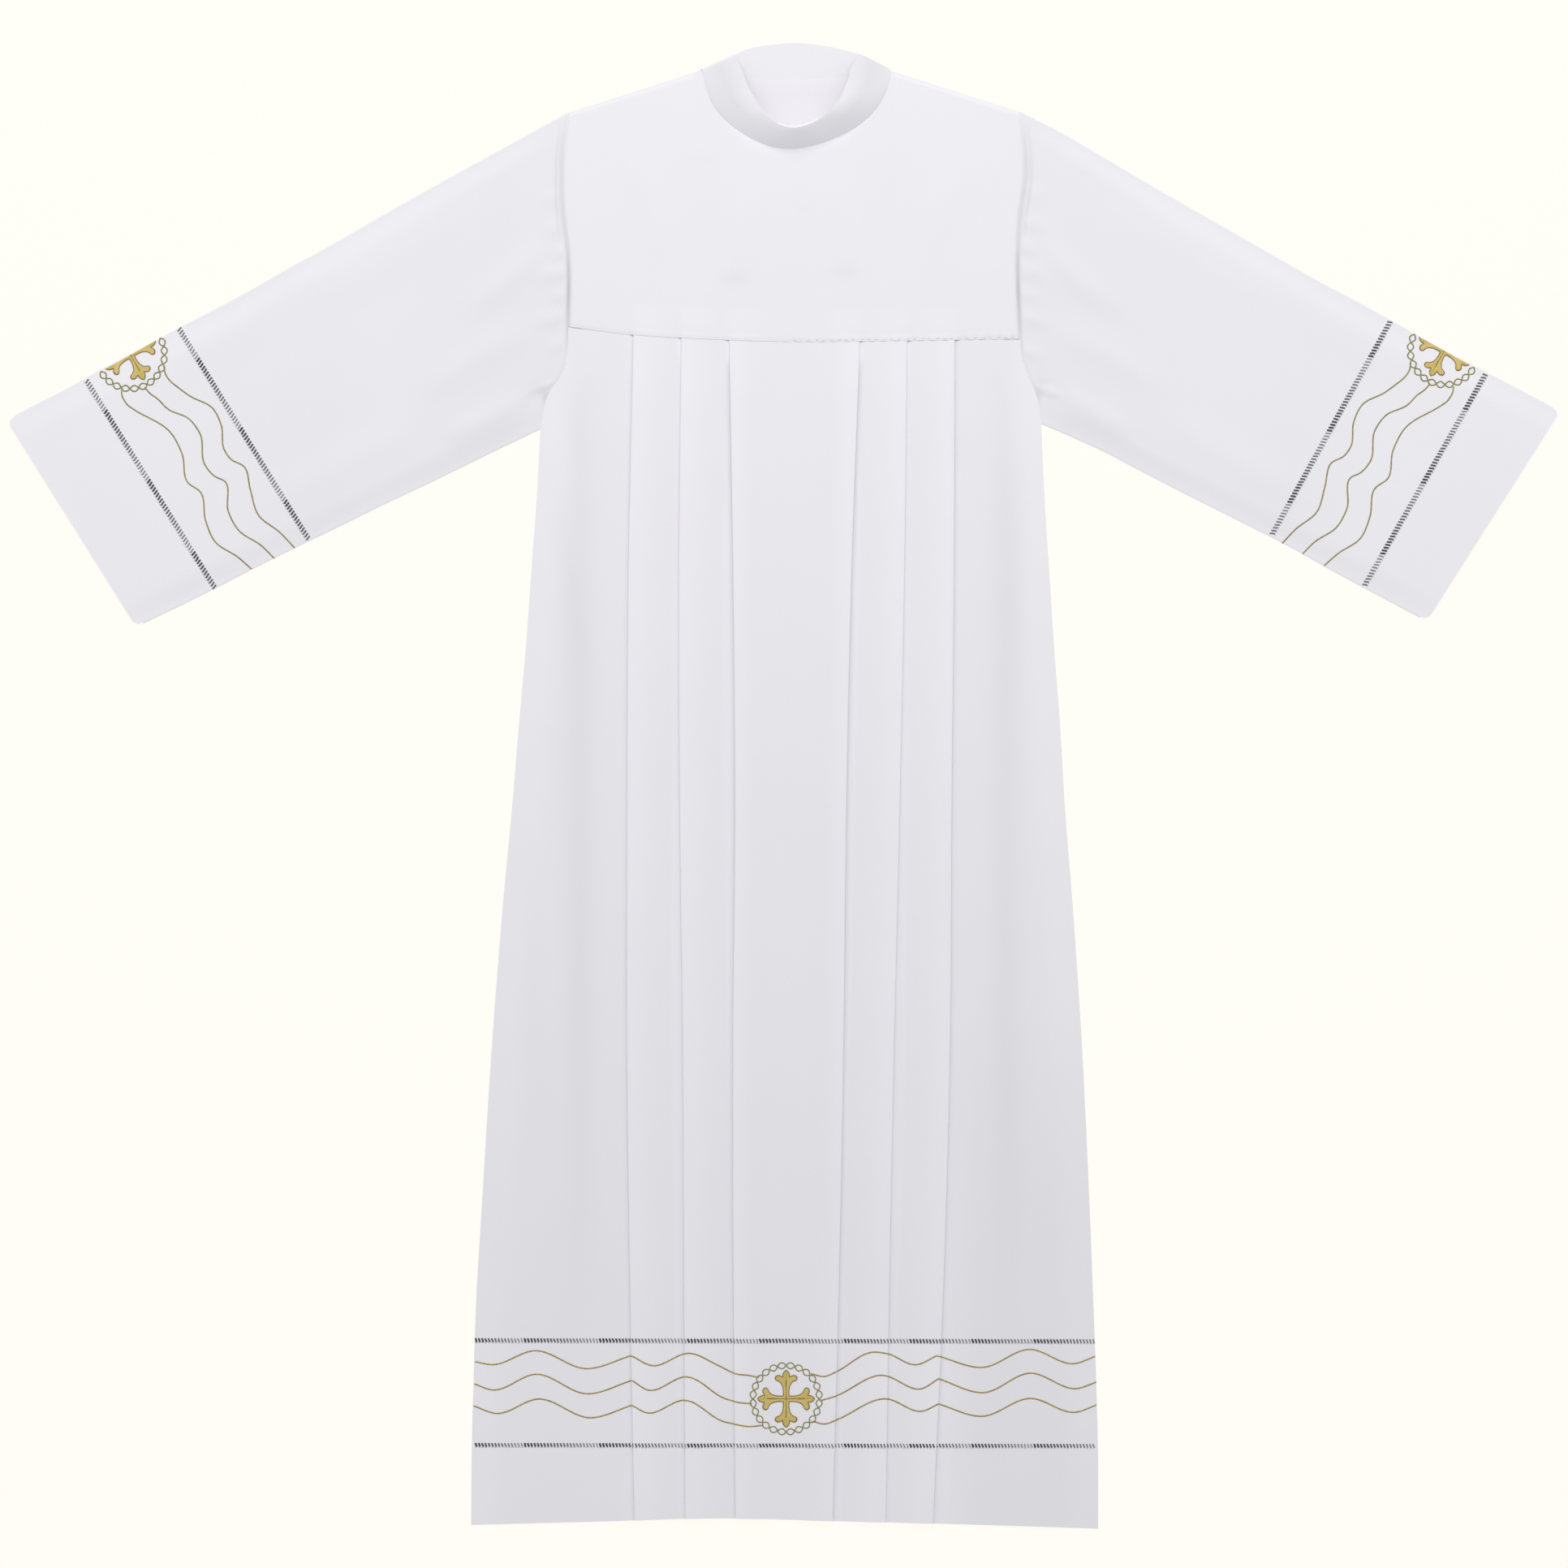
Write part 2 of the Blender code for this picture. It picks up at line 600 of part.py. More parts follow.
def build_sleeve(side):
    """A sleeve as one tube pressed flat, open at the armhole and at the cuff."""
    outward = -1 if side == "left" else 1
    upper, lower = armhole(side)
    arm = upper + lower[1:]
    chords = [(point - arm[0]).length for point in arm]
    across = [chord / chords[-1] for chord in chords]
    width = (Vector(SLEEVE_TOP[side][-1]) - Vector(SLEEVE_UNDER[side][-1])).length * MM
    length = (Vector(SLEEVE_TOP[side][-1]) - Vector(SLEEVE_TOP[side][0])).length * MM
    corner_shares = [1 - CUFF_CORNER * cut / length for cut in (1.0, 0.5, 0.13, 0.0)]
    shares = list(SLEEVE_SHARES) + corner_shares
    top_path = smooth_path(SLEEVE_TOP[side], shares)
    under_path = smooth_path(SLEEVE_UNDER[side], shares)
    outer, inner = [], []
    for along, top, under in zip(shares, top_path, under_path):
        cut = max(CUFF_CORNER - (1 - along) * length, 0.0)
        inset = (CUFF_CORNER - math.sqrt(max(CUFF_CORNER**2 - cut**2, 0.0))) / width
        start, end = top.lerp(under, inset), under.lerp(top, inset)
        keep = max(1 - along / 0.18, 0.0) ** 2
        line = []
        for share, place in zip(across, arm):
            straight = arm[0].lerp(arm[-1], share)
            line.append(start.lerp(end, share) + (place - straight) * keep)
        if along == 0.0:
            line = [place + Vector((outward * ARMHOLE_SEAM_GAP, 0)) for place in line]
        outer_row, inner_row = [], []
        reach = FOLD + WALL / 2
        first = (line[1] - line[0]).normalized()
        last = (line[-2] - line[-1]).normalized()
        fold_first, fold_last = line[0] + first * reach, line[-1] + last * reach
        ring = [(fold_first, FRONT_MID, Vector((0, 0, 1)))]
        for share, place in list(zip(across, line))[1:-1]:
            ring.append((place, FRONT_MID + sleeve_rise(along, share), Vector((0, 0, 1))))
        for centre, inward, angles in ((fold_last, last, (90, 30, -30, -90)), (fold_first, first, (-90, -30, 30))):
            if angles[0] < 0:
                for place in reversed(line[1:-1]):
                    ring.append((place, BACK_MID, Vector((0, 0, -1))))
            for degrees in angles:
                angle = math.radians(degrees)
                out = Vector((-inward.x * math.cos(angle), -inward.y * math.cos(angle), math.sin(angle)))
                spot = centre + out.to_2d() * FOLD
                ring.append((spot, BACK_MID + FOLD * (1 + math.sin(angle)), out))
        for place, z, out in ring:
            middle = Vector((place.x, place.y, z))
            outer_row.append(middle + out * WALL / 2)
            inner_row.append(middle - out * WALL / 2)
        outer.append(outer_row)
        inner.append(inner_row)
    return grid_wall("sleeve_" + side, outer, inner, True)


def settle(pieces):
    """Bring the whole robe's box to be centred on X and Y, and resting at height 0."""
    corners = [vert.co for piece in pieces for vert in piece.data.vertices]
    low = Vector([min(corner[axis] for corner in corners) for axis in range(3)])
    high = Vector([max(corner[axis] for corner in corners) for axis in range(3)])
    shift = Vector((-(low.x + high.x) / 2, -(low.y + high.y) / 2, -low.z))
    for piece in pieces:
        for vert in piece.data.vertices:
            vert.co += shift
        piece.data.update()
    return shift


def main():
    for item in list(bpy.data.objects):
        bpy.data.objects.remove(item, do_unlink=True)
    pieces = [
        build_back(),
        build_yoke(),
        build_skirt(),
        build_sleeve("left"),
        build_sleeve("right"),
        build_collar(),
    ]
    shift = settle(pieces)
    print("moved by (mm):", [round(value / MM, 2) for value in shift])
    for piece in pieces:
        print(piece.name, sum(len(face.vertices) - 2 for face in piece.data.polygons), "triangles")


main()
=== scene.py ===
import math

import bmesh
import bpy
import numpy as np
from mathutils import Matrix, Vector
from mathutils.bvhtree import BVHTree


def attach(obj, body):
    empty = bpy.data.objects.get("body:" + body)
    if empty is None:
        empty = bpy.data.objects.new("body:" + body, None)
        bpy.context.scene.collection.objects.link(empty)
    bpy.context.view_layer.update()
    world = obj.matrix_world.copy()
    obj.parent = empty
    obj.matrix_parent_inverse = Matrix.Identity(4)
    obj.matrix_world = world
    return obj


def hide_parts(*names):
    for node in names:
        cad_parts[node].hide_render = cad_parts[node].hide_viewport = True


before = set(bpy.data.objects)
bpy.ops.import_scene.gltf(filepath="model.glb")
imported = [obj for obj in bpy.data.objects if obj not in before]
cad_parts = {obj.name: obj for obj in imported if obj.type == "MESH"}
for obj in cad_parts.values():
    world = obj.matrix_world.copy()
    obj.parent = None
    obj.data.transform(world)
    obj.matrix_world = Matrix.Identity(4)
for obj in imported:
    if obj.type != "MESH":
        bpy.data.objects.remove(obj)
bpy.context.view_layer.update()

# The tables hold millimetres on the robe seen from above. tableShift carries them to the row frame.
mm = 0.001
tableShift = np.array([-0.79, -0.26])

armholeYoke = {
    "left": ((-217.3, 679.0), (-222.2, 632.2), (-221.4, 577.3), (-216.5, 533.8), (-216.5, 464.9)),
    "right": ((241.1, 679.8), (245.2, 611.7), (240.3, 576.5), (237.8, 531.4), (240.3, 452.6)),
}
armholeSkirt = {
    "left": ((-216.5, 464.9), (-217.5, 440.0), (-222.2, 418.2), (-238.0, 393.0), (-244.4, 360.8)),
    "right": ((240.3, 452.6), (242.0, 434.0), (248.5, 414.6), (257.5, 392.4), (261.6, 366.0)),
}
# height, left seam, right seam
sideSeams = (
    (360.8, -244.4, 261.6), (301.8, -247.2, 264.0), (219.8, -253.0, 269.0), (137.8, -259.0, 274.3),
    (55.8, -266.3, 280.6), (-26.2, -273.1, 285.4), (-108.2, -281.0, 292.0), (-190.2, -287.8, 297.9),
    (-272.2, -293.9, 303.0), (-354.2, -299.2, 307.1), (-436.2, -304.2, 310.7), (-518.2, -309.2, 313.9),
    (-600.2, -311.9, 316.9), (-682.2, -313.9, 318.9), (-750.0, -314.4, 319.0),
)
hemLine = ((-316.0, -746.8), (-190.0, -743.5), (-69.0, -740.2), (60.0, -743.1), (190.0, -746.4),
           (319.0, -750.6))
yokeSeam = ((-216.5, 464.9), (-150.9, 456.6), (-93.5, 453.0), (0.8, 449.8), (111.5, 450.4),
            (240.3, 452.6))
# seam x and y, free edge x and y, rise of the free edge
bandFront = (
    (-81.2, 723.2, -48.4, 738.0, 0.0), (-76.7, 705.2, -41.0, 723.0, 4.0),
    (-68.1, 685.9, -35.0, 706.5, 9.0), (-54.1, 670.3, -26.5, 690.5, 17.0),
    (-35.3, 656.8, -14.8, 675.7, 26.0), (-14.8, 647.4, -2.5, 666.2, 31.0),
    (6.5, 644.2, 11.0, 663.2, 33.0), (28.7, 647.0, 26.0, 666.5, 33.0),
    (54.1, 655.2, 41.0, 674.8, 30.0), (75.4, 666.7, 53.5, 686.0, 25.0),
    (91.0, 680.6, 61.0, 699.0, 17.0), (100.9, 694.5, 66.0, 712.0, 9.0),
    (106.6, 708.5, 70.0, 726.0, 4.0), (109.2, 722.0, 77.0, 738.0, 1.0),
)
bandBack = (
    (-81.2, 723.2, -48.4, 738.0), (-60.0, 717.8, -40.0, 742.0), (-35.0, 714.3, -26.0, 746.2),
    (-10.0, 712.9, -7.0, 748.8), (12.0, 712.6, 11.5, 750.3), (35.0, 713.0, 31.0, 748.8),
    (60.0, 714.4, 51.0, 745.6), (85.0, 717.4, 66.0, 742.0), (109.2, 724.2, 80.0, 738.4),
)
backMid = 0.6
frontMid = 2.1


def smoothStep(low, high, x):
    t = np.clip((x - low) / (high - low), 0.0, 1.0)
    return t * t * (3.0 - 2.0 * t)


def falling(low, high, x):
    return 1 - smoothStep(low, high, x)


def within(foot, top, topEnd, footEnd, x):
    # One between top and topEnd, falling to none at foot and footEnd.
    return smoothStep(foot, top, x) * falling(topEnd, footEnd, x)


def bell(distance, width):
    return np.exp(-(distance / width) ** 2)


def crowded(count, pull):
    # Shares from none to one, closer together near both ends.
    t = np.linspace(0.0, 1.0, count)
    return t - pull * np.sin(2 * math.pi * t) / (2 * math.pi)


def through(keys, values, x):
    # A smooth curve through the values, at x.
    keys = np.asarray(keys, float)
    values = np.asarray(values, float)
    x = np.asarray(x, float)
    slopes = np.gradient(values, keys, axis=0)
    i = np.clip(np.searchsorted(keys, x) - 1, 0, len(keys) - 2)
    h = keys[i + 1] - keys[i]
    t = np.clip((x - keys[i]) / h, 0.0, 1.0)
    if values.ndim > 1:
        t = t[..., None]
        h = h[..., None]
    a = values[i] * (1 + 2 * t) * (1 - t) ** 2 + values[i + 1] * t * t * (3 - 2 * t)
    return a + h * (slopes[i] * t * (1 - t) ** 2 + slopes[i + 1] * t * t * (t - 1))


def rising(rows):
    rows = np.asarray(rows, float)
    return rows[np.argsort(rows[:, 0])]


def lengthsAlong(points):
    steps = np.linalg.norm(np.diff(points[:, :2], axis=0), axis=1)
    return np.concatenate(([0.0], np.cumsum(steps)))


def smoothed(points, count=160):
    points = np.asarray(points, float)
    keys = lengthsAlong(points)
    return through(keys, points, np.linspace(0.0, keys[-1], count))


def joined(*curves):
    # One path over several curves, as a function of its share of the length.
    points = np.concatenate([curves[0]] + [c[1:] for c in curves[1:]])
    keys = lengthsAlong(points)
    keys = keys / keys[-1]

    def at(share):
        return np.stack([np.interp(share, keys, points[:, k]) for k in range(points.shape[1])], -1)

    return at


def patch(bottom, top, left, right, u, v):
    # A surface between four edges, each a function of a share.
    b, t = bottom(u)[None], top(u)[None]
    l, r = left(v)[:, None], right(v)[:, None]
    across, up = u[None, :, None], v[:, None, None]
    ends = np.array([0.0, 1.0])
    (b0, b1), (t0, t1) = bottom(ends), top(ends)
    corners = (1 - up) * ((1 - across) * b0 + across * b1) + up * ((1 - across) * t0 + across * t1)
    return (1 - up) * b + up * t + (1 - across) * l + across * r - corners


def creaseHeight(x, y, creases):
    # Each crease runs from one point to another, bowed, with a height and a half width.
    total = np.zeros_like(x)
    for x0, y0, x1, y1, bow, height, width in creases:
        dx, dy = x1 - x0, y1 - y0
        length = math.hypot(dx, dy)
        along = ((x - x0) * dx + (y - y0) * dy) / length ** 2
        side = ((y - y0) * dx - (x - x0) * dy) / length - bow * 4 * along * (1 - along)
        total += height * within(0.0, 0.4, 0.6, 1.0, along) * bell(side, width)
    return total


def dimpleShade(x, y, dimples):
    # Each dimple has a place, a half width, a half height and the painted shade in it.
    total = np.zeros_like(x)
    for px, py, halfWidth, halfHeight, shade in dimples:
        total += shade * np.exp(-((x - px) / halfWidth) ** 2 - ((y - py) / halfHeight) ** 2)
    return total


def clothLengths(points):
    # Where each point lies on the flat cloth: along its row, and along its column.
    steps = np.linalg.norm(np.diff(points, axis=1), axis=2)
    u = np.concatenate((np.zeros((len(points), 1)), np.cumsum(steps, axis=1)), axis=1)
    u = u - u[:, u.shape[1] // 2][:, None]
    steps = np.linalg.norm(np.diff(points[..., :2], axis=0), axis=2).mean(axis=1)
    v = np.concatenate(([0.0], np.cumsum(steps)))
    return np.stack(np.broadcast_arrays(u, v[:, None]), -1)


def linkObject(name, data, material, body="root"):
    obj = bpy.data.objects.new(name, data)
    bpy.context.scene.collection.objects.link(obj)
    data.materials.append(material)
    data.polygons.foreach_set("use_smooth", [True] * len(data.polygons))
    if body:
        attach(obj, body)
    return obj


def meshData(name, mesh):
    data = bpy.data.meshes.new(name)
    mesh.to_mesh(data)
    mesh.free()
    return data


def sheetPiece(name, points, material, thickness, shade=None, ring=False):
    # A grid of points in millimetres made into cloth. shade is painted shade that darkens it, below none
    # painted light, in levels of an 8-bit picture.
    rows, columns = points.shape[:2]
    cloth = clothLengths(points)
    placed = points.copy()
    placed[..., :2] += tableShift
    placed *= mm
    mesh = bmesh.new()
    bmesh.ops.create_grid(mesh, x_segments=columns - 1, y_segments=rows - 1, size=0.5)
    uv = mesh.loops.layers.uv.new("cloth")
    # Each point's painted shade, with painted light below none.
    depth = mesh.verts.layers.float.new("shade")
    cells = {}
    for vert in mesh.verts:
        i = round((vert.co.x + 0.5) * (columns - 1))
        j = round((vert.co.y + 0.5) * (rows - 1))
        cells[vert] = cloth[j, i] * mm
        vert.co = placed[j, i]
        level = clothLook["paintedLightRoom"] + (0.0 if shade is None else shade[j, i])
        vert[depth] = clothLook["level"] * level
    for face in mesh.faces:
        for loop in face.loops:
            loop[uv].uv = cells[loop.vert]
    if ring:
        bmesh.ops.remove_doubles(mesh, verts=mesh.verts, dist=1e-6)
    obj = linkObject(name, meshData(name, mesh), material)
    wall = obj.modifiers.new("wall", "SOLIDIFY")
    wall.thickness = thickness * mm
    wall.offset = 0.0
    wall.use_quality_normals = True
    made = bpy.data.meshes.new_from_object(obj.evaluated_get(bpy.context.evaluated_depsgraph_get()))
    made.set_sharp_from_angle(angle=math.radians(clothLook["sharpFrom"]))
    obj.modifiers.clear()
    obj.data = made
    made.name = name
    return obj


class Value:
    def __init__(self, tree, socket):
        self.tree = tree
        self.socket = socket

    def maths(self, operation, other, swapped=False):
        node = self.tree.nodes.new("ShaderNodeMath")
        node.operation = operation
        pair = (other, self) if swapped else (self, other)
        for index, item in enumerate(pair):
            if isinstance(item, Value):
                self.tree.links.new(item.socket, node.inputs[index])
            elif item is not None:
                node.inputs[index].default_value = item
        return Value(self.tree, node.outputs[0])

    def __add__(self, other):
        return self.maths("ADD", other)

    def __radd__(self, other):
        return self.maths("ADD", other, True)

    def __mul__(self, other):
        return self.maths("MULTIPLY", other)

    def __rmul__(self, other):
        return self.maths("MULTIPLY", other, True)

    def sine(self):
        return self.maths("SINE", None)


class Shade:
    def __init__(self, name):
        self.material = bpy.data.materials.new(name)
        self.material.use_nodes = True
        self.tree = self.material.node_tree
        self.tree.nodes.clear()

    def node(self, kind, settings=(), output=0, **inputs):
        made = self.tree.nodes.new("ShaderNode" + kind)
        for key, value in dict(settings).items():
            setattr(made, key, value)
        for key, value in inputs.items():
            name = key.replace("_", " ")
            socket = made.inputs[int(name[1:])] if name[1:].isdigit() else made.inputs[name]
            if isinstance(value, Value):
                self.tree.links.new(value.socket, socket)
            else:
                socket.default_value = value
        return Value(self.tree, made.outputs[output]) if made.outputs else None

    def mix(self, factor, first, second):
        return self.node("Mix", {"data_type": "RGBA"}, 2, i0=factor, i6=first, i7=second)

    def finish(self, **inputs):
        self.node("OutputMaterial", Surface=self.node("BsdfPrincipled", **inputs))
        return self.material


# level is how much of the shadow colour one level of painted shade mixes in. A few spare levels of painted
# shade lie under all the cloth, so that painted light below none can lighten it.
clothLook = {
    "colour": (0.875, 0.865, 0.900, 1.0),
    "deeper": (0.855, 0.845, 0.882, 1.0),
    "shadow": (0.20, 0.20, 0.22, 1.0),
    "level": 0.0125,
    "paintedLightRoom": 3.0,
    "sharpFrom": 55.0,
    "roughness": 0.85,
    "sheen": 0.12,
    "patchScale": 9.0,
    "slubScale": 700.0,
    "threadPitch": 0.00045,
    "weaveHeight": 0.00006,
}
# The collar's cloth is a lighter copy of the same cloth, for its painted shade to darken again.
collarCloth = {"colour": (0.940, 0.930, 0.965, 1.0), "deeper": (0.920, 0.910, 0.947, 1.0)}


def clothMaterial(name):
    look = {**clothLook, **(collarCloth if name == "collarCloth" else {})}
    shade = Shade(name)
    place = shade.node("TexCoord", output=3)
    patches = shade.node("TexNoise", {}, 0, Vector=place, Scale=look["patchScale"], Detail=2.0)
    # Painted shade: mixes the shadow colour into the cloth by each point's shade attribute.
    depth = shade.node("Attribute", {"attribute_name": "shade"}, 2)
    colour = shade.mix(depth, shade.mix(patches, look["colour"], look["deeper"]), look["shadow"])
    cloth = shade.node("UVMap", {"uv_map": "cloth"})
    turns = 2 * math.pi / look["threadPitch"]
    warp = (shade.node("SeparateXYZ", {}, 0, Vector=cloth) * turns).sine()
    weft = (shade.node("SeparateXYZ", {}, 1, Vector=cloth) * turns).sine()
    slubs = shade.node("TexNoise", {}, 0, Vector=place, Scale=look["slubScale"], Detail=2.0)
    height = warp * weft * 0.5 + slubs
    normal = shade.node("Bump", {}, 0, Height=height, Strength=0.35, Distance=look["weaveHeight"])
    return shade.finish(Base_Color=colour, Roughness=look["roughness"], Normal=normal,
                        Sheen_Weight=look["sheen"], Sheen_Roughness=0.6, Specular_IOR_Level=0.25)


clothMaterials = {name: clothMaterial(name + "Cloth") for name in
                  ("back", "yoke", "skirt", "sleeveLeft", "sleeveRight", "collar")}
print("materials made")


def heightOn(line, x):
    path = smoothed(line)
    return np.interp(x, path[:, 0], path[:, 1])


def edgeAt(side, y):
    # The garment's side at a height: the side seam, then the armhole.
    column = 1 if side == "left" else 2
    seam = [(row[0], row[column]) for row in sideSeams]
    hole = [(point[1], point[0]) for point in armholeSkirt[side]]
    yoke = [(point[1], point[0]) for point in armholeYoke[side]]
    dense = rising(np.concatenate([smoothed(part) for part in (seam, hole[::-1], yoke[::-1])]))
    return np.interp(y, dense[:, 0], dense[:, 1])


def foldsAt(table, y):
    rows = rising(table)
    return through(rows[:, 0], rows[:, 1:], np.clip(y, rows[0, 0], rows[-1, 0]))


# height, then the outer, middle and inner fold
leftFolds = (
    (441.2, -150.1, -101.7, -53.3), (219.8, -155.0, -104.1, -49.6), (-26.2, -156.4, -103.3, -47.4),
    (-272.2, -156.6, -100.2, -49.6), (-518.2, -153.4, -99.0, -49.0), (-739.6, -149.2, -97.6, -46.9),
)
rightFolds = (
    (441.2, 173.8, 125.5, 77.9), (219.8, 173.0, 123.0, 69.7), (-26.2, 170.6, 118.1, 64.2),
    (-272.2, 168.8, 112.3, 61.2), (-518.2, 161.8, 107.4, 56.4), (-739.6, 151.9, 104.1, 50.4),
)
# Painted shade of the pleats: painted shadow just beside each fold's edge, at the top and at the hem, a
# painted highlight along each edge, painted shade where the top layer sinks towards the next fold, and
# painted light where the inner folds fade out below the yoke.
pleats = {
    "radius": 0.75,
    "depth": 16.0,
    "sinkFrom": 12.0,
    "sinkTo": 45.0,
    "rows": 123,
    "tuckUnderYoke": 5.0,
    "pressed": 0.2,
    "foldShadowTop": (7.0, 2.0, 16.0),
    "foldShadowFoot": (5.0, 4.0, 6.0),
    "shadeFrom": (-6.0, 0.0),
    "paintedEdgeLight": -1.6,
    "lightReach": (4.0, 22.0),
    "sinkShade": 1.8,
    "lostBelowYoke": (0.968, 0.983),
    "paintedLightBelowYoke": 2.5,
    "sideDrop": 0.5,
    "sideDropReach": (0.0, 5.0),
    "heights": {"folds": (-742.0, 450.0), "left": (-746.0, 464.9), "right": (-749.8, 452.6)},
}
skirtCreases = (
    (-236.0, 380.0, -205.0, 120.0, 6.0, 2.2, 13.0),
    (-205.0, 330.0, -190.0, 60.0, -5.0, 1.6, 11.0),
    (-262.0, 60.0, -240.0, -420.0, 8.0, 2.0, 15.0),
    (-225.0, -40.0, -212.0, -690.0, -6.0, 2.4, 17.0),
    (-282.0, -250.0, -285.0, -735.0, 4.0, 1.8, 12.0),
    (232.0, 400.0, 222.0, 90.0, 5.0, 2.0, 13.0),
    (262.0, 290.0, 262.0, -120.0, -5.0, 1.6, 12.0),
    (225.0, 60.0, 238.0, -520.0, 6.0, 2.2, 16.0),
    (268.0, -180.0, 285.0, -720.0, -6.0, 2.0, 14.0),
    (205.0, -320.0, 214.0, -740.0, 5.0, 1.6, 14.0),
    (-8.0, 440.0, 6.0, -100.0, 9.0, 1.0, 26.0),
    (12.0, -80.0, 0.0, -700.0, -9.0, 1.1, 26.0),
)


def halfProfile(edge, folds, centre, radius, share):
    # Across one half at one height, place, height and painted shade: under each pleat, back over it, and
    # down.
    r, low = radius, frontMid
    parts = []

    def add(x, z, shade):
        parts.append(np.stack(np.broadcast_arrays(x, z, shade), -1))

    def run(x0, x1, z, count):
        x = np.linspace(x0, x1, count, endpoint=False)
        # Painted shadow on the cloth just beside the fold's edge.
        add(x, z, foldShadow * smoothStep(*pleats["shadeFrom"], x - fold))

    def arc(x, z, first, last, count):
        a = np.radians(np.linspace(first, last, count, endpoint=False))
        # A painted highlight round the fold.
        add(x + r * np.cos(a), z + r * np.sin(a), pleats["paintedEdgeLight"])

    start = edge
    for number, fold in enumerate(folds):
        turn = fold + pleats["depth"] - r
        # How much painted shadow lies beside this fold; below the yoke the inner folds get painted light
        # instead.
        foldShadow = share * pleats["foldShadowTop"][number] + (1 - share) * pleats["foldShadowFoot"][number]
        fade = smoothStep(*pleats["lostBelowYoke"], share) * (number > 0)
        foldShadow = foldShadow * (1 - fade) - pleats["paintedLightBelowYoke"] * fade
        if number == 0:
            run(start, fold - 10.0, low, 34)
            start = fold - 10.0
        run(start, turn, low, 12)
        arc(turn, low + r, -90, 90, 6)
        run(turn, fold + r, low + 2 * r, 4)
        arc(fold + r, low + 3 * r, -90, -270, 8)
        x = np.linspace(fold + r, fold + pleats["sinkTo"] + 1.0, 14, endpoint=False)
        sink = falling(pleats["sinkFrom"], pleats["sinkTo"], x - fold)
        # A painted highlight beside the fold's edge, and painted shade where the top layer sinks.
        glow = pleats["paintedEdgeLight"] * falling(*pleats["lightReach"], x - fold)
        add(x, low + 4 * r * sink, glow + pleats["sinkShade"] * (1 - sink) * (number < 2))
        start = fold + pleats["sinkTo"] + 1.0
    fold = math.inf
    run(start, centre, low, 17)
    return np.concatenate(parts)


# Levels of painted shade, below none lighter, and the places where they begin and end
skirtPaintedShade = {
    "leftPanel": (-162.0, -156.0),
    "rightPanel": (168.0, 174.0),
    "panel": 2.2,
    "panelEdge": -0.4,
    "panelFrom": (14.0, 42.0),
    "centre": 1.4,
    "centreReach": (-50.0, -30.0, 45.0, 65.0),
    "softFolds": (-205.0, 226.0),
    "softFoldWidth": 17.0,
    "softFold": 2.2,
    "softFoldMiddle": 3.2,
    "softFoldFrom": (-640.0, -420.0),
    "softFoldMiddleReach": (-560.0, -150.0, 260.0, 420.0),
    "lowRight": 2.4,
    "lowRightFrom": (174.0, 200.0),
    "lowRightBelow": (-380.0, -200.0),
    "hemBand": -1.2,
    "hemBandReach": (-667.0, -664.0, -563.0, -560.0),
    "belowBand": -2.0,
}


def skirtShade(x, y, left, right):
    # Painted shade: the side panels darker than the pleats, most along one soft fold each. The centre and the
    # lower right panel are darker too, the hem band and the cloth below it lighter.
    tones = skirtPaintedShade
    panel = falling(*tones["leftPanel"], x) + smoothStep(*tones["rightPanel"], x)
    side = np.minimum(x - left, right - x)
    total = tones["panel"] * panel * smoothStep(*tones["panelFrom"], side) + tones["panelEdge"] * panel
    total = total + tones["centre"] * within(*tones["centreReach"], x)
    lengthwise = tones["softFold"] + tones["softFoldMiddle"] * within(*tones["softFoldMiddleReach"], y)
    lengthwise = lengthwise * smoothStep(*tones["softFoldFrom"], y)
    for middle in tones["softFolds"]:
        total += lengthwise * bell(x - middle, tones["softFoldWidth"])
    total += tones["lowRight"] * smoothStep(*tones["lowRightFrom"], x) * falling(*tones["lowRightBelow"], y)
    total += tones["hemBand"] * within(*tones["hemBandReach"], y)
    return total + tones["belowBand"] * falling(*tones["hemBandReach"][:2], y)


def buildSkirt():
    rows, shades = [], []
    for share in crowded(pleats["rows"], 0.5):
        level, leftLevel, rightLevel = [low + share * (high - low) for low, high in
                                        pleats["heights"].values()]
        left, right = edgeAt("left", leftLevel), edgeAt("right", rightLevel)
        leftInner, rightInner = foldsAt(leftFolds, level), foldsAt(rightFolds, level)
        centre = (leftInner[-1] + rightInner[-1]) / 2
        radius = pleats["radius"] - pleats["pressed"] * smoothStep(380.0, 445.0, level)
        leftHalf = halfProfile(left, leftInner, centre, radius, share)
        rightHalf = halfProfile(-right, -rightInner, -centre, radius, share)
        rightHalf[:, 0] *= -1
        profile = np.concatenate((leftHalf, [[centre, frontMid, 0.0]], rightHalf[::-1]))
        x, z = profile[:, 0], profile[:, 1]
        top, hem = heightOn(yokeSeam, x) + pleats["tuckUnderYoke"], heightOn(hemLine, x)
        y = hem + share * (top - hem)
        z = z + creaseHeight(x, y, skirtCreases)
        z = z - pleats["sideDrop"] * falling(*pleats["sideDropReach"], np.minimum(x - left, right - x))
        rows.append(np.stack((x, y, z), -1))
        shades.append(profile[:, 2] + skirtShade(x, y, left, right))
    return sheetPiece("frontSkirtCloth", np.array(rows), clothMaterials["skirt"], 1.0, np.array(shades))


